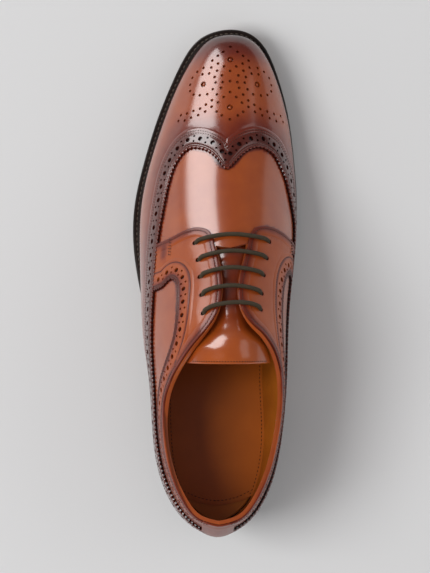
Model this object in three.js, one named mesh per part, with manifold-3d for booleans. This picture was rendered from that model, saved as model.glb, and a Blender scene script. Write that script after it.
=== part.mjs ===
// A long-wing brogue shoe for the left foot: leather derby upper on a welted leather sole.
// Millimetres. +X points to the toe, +Y to the outer side of the foot, +Z up, floor at z = 0.
// The upper is worked out from the ribs of a last: each rib is one curve from the feather edge,
// where the upper meets the welt, up to the crest of the instep or to the top ring above the ankle.

import * as THREE from 'three';
import Module from 'manifold-3d';

// Driving sizes
const LENGTH = 302;            // toe tip of the welt to the bulge of the heel
const BALL_WIDTH = 98;         // widest part of the sole
const INSTEP_HEIGHT = 91;      // crest of the last where the throat begins, above the floor
const HEEL_RISE = 21.5;        // underside of the outsole at the heel breast, above the floor
const TOE_SPRING = 10.5;       // underside of the outsole at the toe tip, above the floor
const HEEL_SLOPE = 0.03;       // how the heel seat rises from the breast to the back

const OUTSOLE_THICK = 5;
const WELT_THICK = 3.2;
const INSOLE_THICK = 4.2;
const HEEL_TIP_THICK = 5.7;
const UPPER_WALL = 2.2;
const OVERLAY_THICK = 1.2;
const TONGUE_THICK = 2.4;
const GAP = 0.3;               // between pieces that meet

const WELT_SEAT = 3.5;         // how far the welt reaches in under the upper's edge
const INSOLE_INSET = 3.8;      // insole's edge, inside the upper's edge
const HEEL_INSET = 0.8;        // heel's edge, inside the outsole's edge
const BREAST_BOW = 3;          // depth of the heel breast's curve
const BACKSTAY_WIDTH = 19;

const LACE_DIAMETER = 2.6;
const LACE_CLEARANCE = 0.6;    // between the lace and what it lies on
const EYELET_DIAMETER = 4.4;
const PUNCH_LENGTH = 16;       // long enough to pass the upper and the facing over it
const TONGUE_DEPTH = 6.1;      // tongue's face below the last's surface, under the facings
const TONGUE_LIFT = 9;         // how far the tongue's free end rises out of that depth

// Places along the shoe, as shares of its length from the back of the heel
const HEEL_BREAST = 0.258;
const FLAT_BACK = 0.622;
const FLAT_FRONT = 0.709;

// Ribs of the last, from the heel's middle (row 0) to the toe's middle (row 15).
// Lengths along the shoe are shares of LENGTH, sideways of BALL_WIDTH, heights of INSTEP_HEIGHT.
// at, outer, inner: foot of the rib. crestAt, crestMid, crestZ: its top. open: half width of the top ring.
// bulgeOut, bulgeIn: how far the rib leans out. riseOut, riseIn: where along its height it does so.
// reach, dip: how flat the rib runs into its top.
const RIB_COLUMNS = ['at', 'outer', 'inner', 'crestAt', 'crestMid', 'open', 'crestZ',
  'bulgeOut', 'bulgeIn', 'riseOut', 'riseIn', 'reach', 'dip'];
const RIBS = [
  [0.018, 0.022, 0.022, 0.043, -0.010, 0.000, 1.120, 0.102, 0.102, 0.30, 0.30, 0.25, 0.286],
  [0.031, 0.122, -0.078, 0.051, -0.012, 0.097, 1.120, 0.097, 0.097, 0.30, 0.30, 0.25, 0.286],
  [0.063, 0.230, -0.179, 0.079, -0.015, 0.184, 1.120, 0.097, 0.097, 0.30, 0.30, 0.25, 0.286],
  [0.123, 0.306, -0.250, 0.136, -0.020, 0.265, 1.120, 0.122, 0.112, 0.30, 0.32, 0.25, 0.286],
  [0.205, 0.337, -0.276, 0.212, -0.033, 0.316, 1.120, 0.143, 0.143, 0.32, 0.38, 0.30, 0.286],
  [0.298, 0.347, -0.265, 0.291, -0.063, 0.311, 1.154, 0.173, 0.214, 0.34, 0.44, 0.35, 0.264],
  [0.391, 0.390, -0.276, 0.364, -0.094, 0.214, 1.220, 0.204, 0.255, 0.34, 0.50, 0.45, 0.154],
  [0.480, 0.434, -0.321, 0.440, -0.080, 0.066, 1.170, 0.163, 0.240, 0.34, 0.52, 0.52, 0.055],
  [0.563, 0.459, -0.378, 0.526, -0.073, 0.000, 1.000, 0.133, 0.184, 0.34, 0.52, 0.55, 0.041],
  [0.649, 0.462, -0.413, 0.616, -0.061, 0.000, 0.830, 0.102, 0.117, 0.34, 0.44, 0.56, 0.032],
  [0.735, 0.411, -0.408, 0.709, -0.043, 0.000, 0.670, 0.082, 0.077, 0.36, 0.38, 0.57, 0.024],
  [0.815, 0.337, -0.378, 0.788, -0.037, 0.000, 0.560, 0.060, 0.062, 0.38, 0.38, 0.58, 0.020],
  [0.884, 0.257, -0.324, 0.846, -0.040, 0.000, 0.495, 0.038, 0.050, 0.40, 0.40, 0.60, 0.029],
  [0.940, 0.163, -0.255, 0.887, -0.047, 0.000, 0.451, 0.030, 0.038, 0.42, 0.42, 0.62, 0.035],
  [0.974, 0.066, -0.166, 0.914, -0.051, 0.000, 0.423, 0.026, 0.030, 0.42, 0.42, 0.63, 0.040],
  [0.983, -0.051, -0.051, 0.924, -0.053, 0.000, 0.412, 0.026, 0.026, 0.42, 0.42, 0.63, 0.042],
];

// Edge of the welt and outsole at the same rows, in the same shares
const EDGE_COLUMNS = ['at', 'outer', 'inner'];
const EDGES = [
  [0.012, 0.022, 0.022],
  [0.026, 0.133, -0.088],
  [0.060, 0.248, -0.197],
  [0.123, 0.327, -0.270],
  [0.205, 0.357, -0.298],
  [0.298, 0.372, -0.296],
  [0.391, 0.437, -0.315],
  [0.480, 0.503, -0.372],
  [0.563, 0.547, -0.434],
  [0.652, 0.543, -0.456],
  [0.742, 0.481, -0.439],
  [0.825, 0.400, -0.406],
  [0.897, 0.308, -0.350],
  [0.957, 0.209, -0.276],
  [0.990, 0.094, -0.179],
  [1.000, -0.054, -0.054],
];

// Panel lines on the last. row counts the ribs, height is the share of the rib from its foot.
const TOPLINE_OUTER = [
  ['row', 'height'],
  [0.0, 0.84], [1.4, 0.82], [2.3, 0.79], [3.0, 0.765], [3.7, 0.735], [4.3, 0.73], [4.9, 0.765],
  [5.3, 0.82], [5.7, 0.87], [6.1, 0.91], [6.4, 0.945], [6.8, 0.985], [7.1, 0.985], [7.3, 0.975],
  [7.5, 0.965], [7.8, 0.94], [8.15, 0.92], [8.5, 0.905], [8.7, 0.89], [9.2, 0.89],
];
const TOPLINE_INNER = [
  ['row', 'height'],
  [0.0, 0.84], [1.4, 0.82], [2.2, 0.79], [3.0, 0.765], [3.7, 0.74], [4.4, 0.735], [5.0, 0.755],
  [5.6, 0.765], [6.0, 0.785], [6.4, 0.86], [6.7, 0.965], [6.95, 0.985], [7.2, 0.98], [7.5, 0.945],
  [7.8, 0.90], [8.04, 0.86], [8.35, 0.83], [8.6, 0.805], [8.7, 0.79], [9.2, 0.79],
];
const THROAT_ROW = 8.42;       // where the vamp closes the throat in front

// Front edge of each facing, over the vamp
const FACING_FRONT_OUTER = [
  ['height', 'row'],
  [0.00, 8.05], [0.51, 8.28], [0.60, 8.42], [0.67, 8.56], [0.74, 8.66], [0.80, 8.72], [0.84, 8.74],
  [0.88, 8.72], [0.90, 8.62], [1.00, 8.40],
];
const FACING_FRONT_INNER = [
  ['height', 'row'],
  [0.00, 8.05], [0.30, 8.28], [0.47, 8.52], [0.60, 8.68], [0.70, 8.73], [0.75, 8.72], [0.79, 8.66],
  [0.81, 8.56], [1.00, 8.30],
];

// Lower edge of each facing: along the wing, up round the quarter, then below the collar
const FACING_LOW_OUTER = [
  ['row', 'height'],
  [0.0, 0.655], [2.3, 0.62], [3.7, 0.595], [4.3, 0.57], [4.8, 0.565], [5.24, 0.595], [5.6, 0.64],
  [6.0, 0.675], [6.3, 0.685], [6.6, 0.675], [7.0, 0.655], [7.3, 0.64], [7.46, 0.61], [7.56, 0.49],
  [8.04, 0.49], [8.6, 0.515],
];
const FACING_LOW_INNER = [
  ['row', 'height'],
  [0.0, 0.655], [2.3, 0.62], [3.7, 0.595], [4.4, 0.575], [5.0, 0.575], [5.6, 0.55], [6.0, 0.52],
  [6.6, 0.465], [7.1, 0.43], [7.3, 0.41], [7.46, 0.38], [7.54, 0.33], [7.6, 0.265], [8.0, 0.265],
  [8.6, 0.28],
];

// Upper edge of the wing tip: the long wings by height, the two lobes in front by row
const WING_TOP_OUTER = [
  ['row', 'height'],
  [0.0, 0.44], [0.8, 0.45], [1.6, 0.50], [2.9, 0.53], [3.5, 0.53], [4.3, 0.51], [4.9, 0.48],
  [6.1, 0.465], [6.7, 0.455], [7.4, 0.46], [8.0, 0.475], [8.5, 0.50], [9.0, 0.53], [9.9, 0.575], [15, 0.58],
];
const WING_TOP_INNER = [
  ['row', 'height'],
  [0.0, 0.44], [0.8, 0.45], [1.6, 0.50], [2.9, 0.50], [3.5, 0.47], [4.5, 0.42], [5.5, 0.35],
  [6.5, 0.28], [7.4, 0.25], [8.0, 0.25], [8.6, 0.26], [8.9, 0.31], [9.3, 0.37], [9.64, 0.40],
  [9.96, 0.47], [15, 0.48],
];
const WING_BACK_OUTER = [
  ['height', 'row'],
  [0.00, 9.9], [0.57, 9.92], [0.64, 10.26], [0.69, 10.40], [0.77, 10.46], [0.85, 10.42],
  [0.92, 10.26], [0.96, 10.13], [1.00, 10.05],
];
const WING_BACK_INNER = [
  ['height', 'row'],
  [0.00, 9.9], [0.47, 9.96], [0.53, 10.20], [0.60, 10.36], [0.69, 10.44], [0.80, 10.40],
  [0.89, 10.24], [0.95, 10.12], [1.00, 10.05],
];
const OVERLAY_FOOT = 0.035;    // height share where the overlays start, just above the welt

// Eyelets, front to back
const EYELET_COLUMNS = ['outerRow', 'outerHeight', 'innerRow', 'innerHeight'];
const EYELETS = [
  [8.38, 0.77, 8.36, 0.63],
  [8.02, 0.79, 8.01, 0.65],
  [7.66, 0.81, 7.65, 0.68],
  [7.28, 0.84, 7.26, 0.715],
  [6.90, 0.885, 6.92, 0.76],
];

// Tongue, front to back: how far down each rib its sides reach, and how far it has risen to its free end
const TONGUE_COLUMNS = ['row', 'outerHeight', 'innerHeight', 'lift'];
const TONGUE = [
  [9.0, 0.72, 0.62, 0.0],
  [8.4, 0.70, 0.60, 0.0],
  [7.6, 0.70, 0.62, 0.0],
  [7.0, 0.70, 0.64, 0.1],
  [6.4, 0.68, 0.64, 0.6],
  [5.75, 0.64, 0.62, 1.0],
];

const ROWS = RIBS.length - 1;          // 15
const ROUND = 2 * ROWS;                // 30 rib places once round the shoe

// Tables

function named(columns, row) {
  const entry = {};
  columns.forEach((name, i) => { entry[name] = row[i]; });
  return entry;
}

const ribs = RIBS.map((row) => named(RIB_COLUMNS, row));
const edges = EDGES.map((row) => named(EDGE_COLUMNS, row));

// A table of two columns read as a line: straight between its rows, level beyond its ends
function line(table) {
  const rows = table.slice(1);
  return (value) => {
    if (value <= rows[0][0]) return rows[0][1];
    for (let i = 1; i < rows.length; i += 1) {
      if (value <= rows[i][0]) {
        const share = (value - rows[i - 1][0]) / (rows[i][0] - rows[i - 1][0]);
        return rows[i - 1][1] + share * (rows[i][1] - rows[i - 1][1]);
      }
    }
    return rows[rows.length - 1][1];
  };
}

// A closed smooth curve through one value for each rib place, heel to toe on the outer side and back
function roundCurve(outer, inner) {
  const values = [];
  for (let i = 0; i < ROUND; i += 1) values.push(i <= ROWS ? outer(i) : inner(ROUND - i));
  let weights = values.slice();
  for (let pass = 0; pass < 40; pass += 1) {
    weights = values.map((value, i) => {
      const before = weights[(i + ROUND - 1) % ROUND];
      const after = weights[(i + 1) % ROUND];
      return (6 * value - before - after) / 4;
    });
  }
  return (place) => {
    const t = ((place % ROUND) + ROUND) % ROUND;
    const i = Math.floor(t);
    const f = t - i;
    const w = [(1 - f) ** 3 / 6, (3 * f ** 3 - 6 * f * f + 4) / 6,
      (-3 * f ** 3 + 3 * f * f + 3 * f + 1) / 6, f ** 3 / 6];
    return w.reduce((sum, part, k) => sum + part * weights[(i + k - 1 + ROUND) % ROUND], 0);
  };
}

function shared(column, scale) {
  return roundCurve((i) => ribs[i][column] * scale, (i) => ribs[i][column] * scale);
}

const last = {
  x: shared('at', LENGTH),
  y: roundCurve((i) => ribs[i].outer * BALL_WIDTH, (i) => ribs[i].inner * BALL_WIDTH),
  crestX: shared('crestAt', LENGTH),
  crestY: shared('crestMid', BALL_WIDTH),
  crestZ: shared('crestZ', INSTEP_HEIGHT),
  open: shared('open', BALL_WIDTH),
  bulge: roundCurve((i) => ribs[i].bulgeOut * BALL_WIDTH, (i) => ribs[i].bulgeIn * BALL_WIDTH),
  rise: roundCurve((i) => ribs[i].riseOut, (i) => ribs[i].riseIn),
  reach: shared('reach', 1),
  dip: shared('dip', INSTEP_HEIGHT),
};

const rim = {
  x: roundCurve((i) => edges[i].at * LENGTH, (i) => edges[i].at * LENGTH),
  y: roundCurve((i) => edges[i].outer * BALL_WIDTH, (i) => edges[i].inner * BALL_WIDTH),
};

const OPEN_ROWS = 8;                   // ribs in front of this one meet on the crest
const place = (t) => ((t % ROUND) + ROUND) % ROUND;
const rowOf = (t) => (place(t) <= ROWS ? place(t) : ROUND - place(t));
const isOuter = (t) => place(t) <= ROWS;
const clamp = (value, low, high) => Math.min(high, Math.max(low, value));
const smooth = (s) => s * s * (3 - 2 * s);

// Underside of the outsole: flat at the ball, up the arch to the heel, and up to the toe
function bottom(x) {
  const back = FLAT_BACK * LENGTH;
  const breast = HEEL_BREAST * LENGTH;
  const front = FLAT_FRONT * LENGTH;
  const arch = HEEL_RISE * smooth(clamp((back - x) / (back - breast), 0, 1));
  const heel = Math.max(0, breast - x) * HEEL_SLOPE;
  const toe = TOE_SPRING * clamp((x - front) / (LENGTH - front), 0, 2) ** 2;
  return arch + heel + toe;
}

const FEATHER_STACK = OUTSOLE_THICK + GAP + WELT_THICK + GAP;

// Direction straight out of a closed outline, in plan
function outward(curve, t) {
  const step = 0.002;
  const dx = curve.x(t + step) - curve.x(t - step);
  const dy = curve.y(t + step) - curve.y(t - step);
  const size = Math.hypot(dx, dy);
  return [-dy / size, dx / size];
}

function mix3(a, b, c, d, h) {
  const g = 1 - h;
  return a * g ** 3 + 3 * b * h * g * g + 3 * c * h * h * g + d * h ** 3;
}

// Outer face of the upper at a place round the shoe and a height share on its rib.
// With closed set, the ribs also meet over the instep: that form carries the tongue.
function lastPoint(t, h, closed = false) {
  const foot = [last.x(t), last.y(t)];
  const footZ = bottom(foot[0]) + FEATHER_STACK;
  const half = rowOf(t) < OPEN_ROWS && !closed ? Math.max(0, last.open(t)) : 0;
  const topX = last.crestX(t);
  const topY = last.crestY(t) + (isOuter(t) ? half : -half);
  const topZ = last.crestZ(t);
  const out = outward(last, t);
  const reach = closed ? Math.max(last.reach(t), 0.52) : last.reach(t);
  const dip = closed ? Math.min(last.dip(t), 0.05 * INSTEP_HEIGHT) : last.dip(t);
  const lowX = foot[0] + out[0] * last.bulge(t);
  const lowY = foot[1] + out[1] * last.bulge(t);
  const lowZ = footZ + last.rise(t) * (topZ - footZ);
  const highX = topX + (foot[0] - topX) * reach;
  const highY = topY + (foot[1] - topY) * reach;
  return new THREE.Vector3(
    mix3(foot[0], lowX, highX, topX, h),
    mix3(foot[1], lowY, highY, topY, h),
    mix3(footZ, lowZ, topZ - dip, topZ, h),
  );
}

// Outward direction of the last's face, for holes and laces
function lastNormal(t, h) {
  const step = 0.01;
  const along = lastPoint(t + step, h).sub(lastPoint(t - step, h));
  const up = lastPoint(t, h + step).sub(lastPoint(t, h - step));
  const normal = along.cross(up).normalize();
  return normal.z < 0 ? normal.negate() : normal;
}

// Bodies from plain lists

function geometryOf(points, faces) {
  const geometry = new THREE.BufferGeometry();
  const flat = points.flatMap((p) => [p.x, p.y, p.z]);
  geometry.setAttribute('position', new THREE.Float32BufferAttribute(flat, 3));
  geometry.setIndex(faces.flat());
  return geometry;
}

function volumeOf(points, faces) {
  return faces.reduce((sum, [a, b, c]) => {
    const cross = new THREE.Vector3().crossVectors(points[b], points[c]);
    return sum + points[a].dot(cross) / 6;
  }, 0);
}

function closedBody(points, faces) {
  const turned = volumeOf(points, faces) < 0 ? faces.map(([a, b, c]) => [a, c, b]) : faces;
  return geometryOf(points, turned);
}

// Cells of the last's face: columns by row and bands by height, closer where the panels are cut
const even = (low, high, steps) => {
  return Array.from({ length: steps + 1 }, (_, i) => low + ((high - low) * i) / steps);
};
const stretches = (...parts) => parts.flatMap((part, i) => even(...part).slice(i === 0 ? 0 : 1));
const CELL_ROWS = stretches([0, 5, 8], [5, 8, 7], [8, 11, 8], [11, ROWS, 7]);
const CELL_PLACES = [...CELL_ROWS, ...CELL_ROWS.slice(0, -1).reverse().map((row) => ROUND - row)];
const CELL_HEIGHTS = stretches([0, 0.25, 3], [0.25, 1, 10]);
const CUT_MARGIN = 0.04;               // a cut stays this share of a cell's side away from its corners

// A region of that face, thickened to a closed wall between two depths (outward is positive).
// inside(t, h) is above zero where the region is. Cells that its edge crosses are cut on that edge.
// Every panel is cut from the same cells, so that neighbours keep their gap.
function panel({ inside, low, high }) {
  const nodeT = (i) => CELL_PLACES[i];
  const nodeH = (j) => CELL_HEIGHTS[j];
  const columns = CELL_PLACES.length - 1;
  const top = CELL_HEIGHTS.length - 1;
  const column = (i) => i % columns;

  // on the crest the outer and the inner side share their points
  const nodeKey = (i, j) => {
    const t = nodeT(column(i));
    const seam = j === top && rowOf(t) >= OPEN_ROWS;
    return seam ? `crest ${rowOf(t).toFixed(4)}` : `${column(i)} ${j}`;
  };
  const points = [];
  const index = new Map();
  const pointAt = (key, t, h) => {
    if (!index.has(key)) {
      index.set(key, points.length);
      points.push(lastPoint(t, h));
    }
    return index.get(key);
  };
  const crossing = (a, b) => {
    let s0 = 0;
    let s1 = 1;
    const sign = a.value > 0;
    for (let k = 0; k < 12; k += 1) {
      const s = (s0 + s1) / 2;
      const here = inside(a.t + s * (b.t - a.t), a.h + s * (b.h - a.h)) > 0;
      if (here === sign) s0 = s;
      else s1 = s;
    }
    const s = clamp((s0 + s1) / 2, CUT_MARGIN, 1 - CUT_MARGIN);
    const key = a.key < b.key ? `${a.key} | ${b.key}` : `${b.key} | ${a.key}`;
    return pointAt(key, a.t + s * (b.t - a.t), a.h + s * (b.h - a.h));
  };

  const faces = [];
  for (let i = 0; i < columns; i += 1) {
    for (let j = 0; j < top; j += 1) {
      const corners = [[i, j], [i + 1, j], [i + 1, j + 1], [i, j + 1]].map(([ci, cj]) => {
        const t = nodeT(ci);
        const h = nodeH(cj);
        return { key: nodeKey(ci, cj), t, h, value: inside(t, h) };
      });
      const ring = [];
      corners.forEach((corner, k) => {
        const next = corners[(k + 1) % 4];
        if (corner.value > 0) ring.push(pointAt(corner.key, corner.t, corner.h));
        if ((corner.value > 0) !== (next.value > 0)) ring.push(crossing(corner, next));
      });
      const clean = ring.filter((id, k) => id !== ring[(k + 1) % ring.length]);
      for (let k = 2; k < clean.length; k += 1) faces.push([clean[0], clean[k - 1], clean[k]]);
    }
  }

  // the cells run clockwise round the shoe, so their outward side is the far side of each triangle
  const outer = faces.map(([a, b, c]) => [a, c, b]);
  const normals = points.map(() => new THREE.Vector3());
  outer.forEach(([a, b, c]) => {
    const side = new THREE.Vector3().subVectors(points[b], points[a]);
    const other = new THREE.Vector3().subVectors(points[c], points[a]);
    const cross = side.cross(other);
    [a, b, c].forEach((id) => normals[id].add(cross));
  });
  normals.forEach((normal) => normal.normalize());

  const count = points.length;
  const shifted = (depth) => points.map((p, i) => p.clone().addScaledVector(normals[i], depth));
  const all = [...outer, ...outer.map(([a, b, c]) => [a + count, c + count, b + count])];
  const open = new Map();
  outer.forEach((tri) => {
    tri.forEach((a, k) => {
      const b = tri[(k + 1) % 3];
      if (open.has(`${b} ${a}`)) open.delete(`${b} ${a}`);
      else open.set(`${a} ${b}`, [a, b]);
    });
  });
  open.forEach(([a, b]) => {
    all.push([b, a, a + count], [b, a + count, b + count]);
  });
  return closedBody([...shifted(high), ...shifted(low)], all);
}

// A layer of the sole between two heights, cut from the edge's outline by cross-bars.
// outline(t) gives a point of the edge; bow draws the middle of the front bar back.
function layer({ outline, rows, across, low, high, bow = 0 }) {
  const points = [];
  const faces = [];
  const rings = rows.map((row, k) => {
    const ends = [outline(row), outline(-row)];
    const single = row === 0 || row === ROWS;
    const shares = single ? [0.5] : across;
    return [low, high].map((height) => shares.map((s) => {
      const x = ends[0][0] + s * (ends[1][0] - ends[0][0]);
      const y = ends[0][1] + s * (ends[1][1] - ends[0][1]);
      const front = k === rows.length - 1;
      const moved = front ? x - bow * (1 - (2 * s - 1) ** 2) : x;
      points.push(new THREE.Vector3(moved, y, height(moved)));
      return points.length - 1;
    }));
  });
  const strip = (a, b, flip) => {
    const most = Math.max(a.length, b.length);
    for (let k = 1; k < most; k += 1) {
      const a0 = a[Math.min(k - 1, a.length - 1)];
      const a1 = a[Math.min(k, a.length - 1)];
      const b0 = b[Math.min(k - 1, b.length - 1)];
      const b1 = b[Math.min(k, b.length - 1)];
      const tris = [[a0, b0, b1], [a0, b1, a1]].filter(([p, q, r]) => p !== q && q !== r && r !== p);
      tris.forEach(([p, q, r]) => faces.push(flip ? [p, r, q] : [p, q, r]));
    }
  };
  const end = (list) => list[list.length - 1];
  for (let k = 1; k < rings.length; k += 1) {
    const [lowA, highA] = rings[k - 1];
    const [lowB, highB] = rings[k];
    strip(lowA, lowB, false);
    strip(highA, highB, true);
    faces.push([lowA[0], highA[0], highB[0]], [lowA[0], highB[0], lowB[0]]);
    faces.push([end(lowA), end(highB), end(highA)], [end(lowA), end(lowB), end(highB)]);
  }
  [rings[0], end(rings)].forEach(([lows, highs], k) => {
    if (lows.length === 1) return;
    strip(lows, highs, k === 0);
  });
  return closedBody(points, faces);
}

// A band of one section carried round the shoe: corners(t) gives the section's points in order
function hoop(corners, steps) {
  const points = [];
  for (let i = 0; i < steps; i += 1) points.push(...corners((i * ROUND) / steps));
  const n = points.length / steps;
  const faces = [];
  for (let i = 0; i < steps; i += 1) {
    const a = i * n;
    const b = ((i + 1) % steps) * n;
    for (let k = 0; k < n; k += 1) {
      const m = (k + 1) % n;
      faces.push([a + k, b + k, b + m], [a + k, b + m, a + m]);
    }
  }
  return closedBody(points, faces);
}

// A round cord along a list of places, with flat ends
function cord(path, radius, sides) {
  const points = [];
  const faces = [];
  let across = new THREE.Vector3(0, 0, 1);
  path.forEach((p, i) => {
    const before = path[Math.max(0, i - 1)];
    const after = path[Math.min(path.length - 1, i + 1)];
    const along = new THREE.Vector3().subVectors(after, before).normalize();
    across = across.clone().addScaledVector(along, -across.dot(along));
    if (across.length() < 0.1) across = new THREE.Vector3(along.y, -along.x, 0);
    across.normalize();
    const side = new THREE.Vector3().crossVectors(along, across);
    for (let k = 0; k < sides; k += 1) {
      const angle = (2 * Math.PI * k) / sides;
      const out = across.clone().multiplyScalar(Math.cos(angle)).addScaledVector(side, Math.sin(angle));
      points.push(p.clone().addScaledVector(out, radius));
    }
  });
  for (let i = 1; i < path.length; i += 1) {
    for (let k = 0; k < sides; k += 1) {
      const m = (k + 1) % sides;
      const a = (i - 1) * sides;
      const b = i * sides;
      faces.push([a + k, a + m, b + m], [a + k, b + m, b + k]);
    }
  }
  points.push(path[0].clone(), path[path.length - 1].clone());
  const firstEnd = points.length - 2;
  const base = (path.length - 1) * sides;
  for (let k = 0; k < sides; k += 1) {
    const m = (k + 1) % sides;
    faces.push([firstEnd, m, k], [firstEnd + 1, base + k, base + m]);
  }
  return closedBody(points, faces);
}

// Joining and cutting

const wasm = await Module();
wasm.setup();

function solidOf(geometry) {
  const vertProperties = new Float32Array(geometry.getAttribute('position').array);
  const triVerts = new Uint32Array(geometry.getIndex().array);
  const mesh = new wasm.Mesh({ numProp: 3, vertProperties, triVerts });
  mesh.merge();
  return new wasm.Manifold(mesh);
}

function geometryFrom(solid) {
  const mesh = solid.getMesh();
  const geometry = new THREE.BufferGeometry();
  geometry.setAttribute('position', new THREE.Float32BufferAttribute(mesh.vertProperties, 3));
  geometry.setIndex(Array.from(mesh.triVerts));
  return geometry;
}

// A round pin through the last's face, used to punch a hole
function pin(t, h, diameter, length) {
  const cylinder = new THREE.CylinderGeometry(diameter / 2, diameter / 2, length, 10);
  const turn = new THREE.Quaternion().setFromUnitVectors(new THREE.Vector3(0, 1, 0), lastNormal(t, h));
  const at = lastPoint(t, h);
  cylinder.applyQuaternion(turn);
  cylinder.translate(at.x, at.y, at.z);
  return solidOf(cylinder);
}

const holes = EYELETS.map((row) => named(EYELET_COLUMNS, row));

function punched(geometry, sides) {
  let solid = solidOf(geometry);
  holes.forEach((eyelet) => {
    sides.forEach((side) => {
      const t = side === 'outer' ? eyelet.outerRow : -eyelet.innerRow;
      const h = side === 'outer' ? eyelet.outerHeight : eyelet.innerHeight;
      solid = solid.subtract(pin(t, h, EYELET_DIAMETER, PUNCH_LENGTH));
    });
  });
  return geometryFrom(solid);
}

// Regions of the upper

const lines = {
  outer: {
    top: line(TOPLINE_OUTER),
    front: line(FACING_FRONT_OUTER),
    low: line(FACING_LOW_OUTER),
    wing: line(WING_TOP_OUTER),
    wingBack: line(WING_BACK_OUTER),
  },
  inner: {
    top: line(TOPLINE_INNER),
    front: line(FACING_FRONT_INNER),
    low: line(FACING_LOW_INNER),
    wing: line(WING_TOP_INNER),
    wingBack: line(WING_BACK_INNER),
  },
};
const sideLines = (t) => (isOuter(t) ? lines.outer : lines.inner);

const ROW_SCALE = 0.07;                // one row weighs about this much height in a region's edge
const SIDE_SCALE = 1 / 30;             // one millimetre across the heel weighs this much
const WING_CLEARANCE = 0.01;           // height share kept between a facing's lower edge and its line

const heelReach = (t, h) => Math.abs(lastPoint(t, h).y - last.crestY(0));
const backstayEdge = BACKSTAY_WIDTH / 2;

function insideUpper(t, h) {
  const row = rowOf(t);
  return Math.max(sideLines(t).top(row) - h, (row - THROAT_ROW) * ROW_SCALE);
}

function behindBackstay(t, h) {
  const near = rowOf(t) < 3;
  return near ? (heelReach(t, h) - backstayEdge - GAP) * SIDE_SCALE : 1;
}

function insideWing(t, h) {
  const row = rowOf(t);
  const { wing, wingBack } = sideLines(t);
  const below = Math.max(wing(row) - h, (row - wingBack(h)) * ROW_SCALE);
  return Math.min(below, h - OVERLAY_FOOT, behindBackstay(t, h));
}

function insideFacing(side) {
  return (t, h) => {
    const row = rowOf(t);
    if (row > 0 && (side === 'outer') !== isOuter(t)) return -1;
    const { top, front, low } = lines[side];
    const above = h - low(row) - WING_CLEARANCE;
    return Math.min(top(row) - h, (front(h) - row) * ROW_SCALE, above, behindBackstay(t, h));
  };
}

function insideBackstay(t, h) {
  if (rowOf(t) > 3) return -1;
  const { top } = sideLines(t);
  return Math.min((backstayEdge - heelReach(t, h)) * SIDE_SCALE, h - OVERLAY_FOOT, top(rowOf(t)) - h);
}

// Pieces

const edgePoint = (t, inset = 0) => {
  const out = outward(rim, t);
  return [rim.x(t) - out[0] * inset, rim.y(t) - out[1] * inset];
};
const featherPoint = (t, inset = 0) => {
  const out = outward(last, t);
  return [last.x(t) - out[0] * inset, last.y(t) - out[1] * inset];
};

const soleRows = even(0, ROWS, 30);
const SOLE_BARS = even(0, 1, 2);
const HEEL_BARS = even(0, 1, 4);       // closer, for the bow of the heel's breast

const heelRows = () => {
  let row = 4;
  while (rim.x(row) < HEEL_BREAST * LENGTH) row += 0.01;
  return even(0, row, 10);
};

function outsole() {
  return layer({
    outline: (t) => edgePoint(t),
    rows: soleRows,
    across: SOLE_BARS,
    low: (x) => bottom(x),
    high: (x) => bottom(x) + OUTSOLE_THICK,
  });
}

function welt() {
  const base = (x) => bottom(x) + OUTSOLE_THICK + GAP;
  return hoop((t) => {
    const outer = edgePoint(t);
    const inner = featherPoint(t, WELT_SEAT);
    const low = [new THREE.Vector3(...outer, base(outer[0])), new THREE.Vector3(...inner, base(inner[0]))];
    const high = low.map((p) => p.clone().setZ(p.z + WELT_THICK)).reverse();
    return [...low, ...high];
  }, 2 * ROUND);
}

function insole() {
  const base = (x) => bottom(x) + OUTSOLE_THICK + GAP;
  return layer({
    outline: (t) => featherPoint(t, INSOLE_INSET),
    rows: soleRows,
    across: SOLE_BARS,
    low: base,
    high: (x) => base(x) + INSOLE_THICK,
  });
}

function heelPiece(low, high) {
  return layer({
    outline: (t) => edgePoint(t, HEEL_INSET),
    rows: heelRows(),
    across: HEEL_BARS,
    low,
    high,
    bow: BREAST_BOW,
  });
}

const heelStack = () => heelPiece(() => HEEL_TIP_THICK + GAP, (x) => bottom(x) - GAP);
const heelTip = () => heelPiece(() => 0, () => HEEL_TIP_THICK);

const OVERLAY = { low: GAP, high: GAP + OVERLAY_THICK };

function upper() {
  const shell = panel({ inside: insideUpper, low: -UPPER_WALL, high: 0 });
  return punched(shell, ['outer', 'inner']);
}

function wingTip() {
  return panel({ inside: insideWing, ...OVERLAY });
}

function facing(side) {
  return punched(panel({ inside: insideFacing(side), ...OVERLAY }), [side]);
}

function backstay() {
  return panel({ inside: insideBackstay, ...OVERLAY });
}

const tongueRows = TONGUE.map((row) => named(TONGUE_COLUMNS, row)).reverse();
const tongueLine = (column) => line([['row', column], ...tongueRows.map((r) => [r.row, r[column]])]);
const tongueSide = { outer: tongueLine('outerHeight'), inner: tongueLine('innerHeight') };
const tongueRise = tongueLine('lift');
const TONGUE_BACK = tongueRows[0].row;
const TONGUE_FRONT = tongueRows[tongueRows.length - 1].row;

// The tongue's face at a row and a share across it, from the outer side (-1) over the crest to the inner (1)
function tonguePoint(row, s) {
  const side = s < 0 ? 'outer' : 'inner';
  const h = 1 - Math.abs(s) * (1 - tongueSide[side](row));
  return lastPoint(s < 0 ? row : -row, h, true);
}

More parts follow.
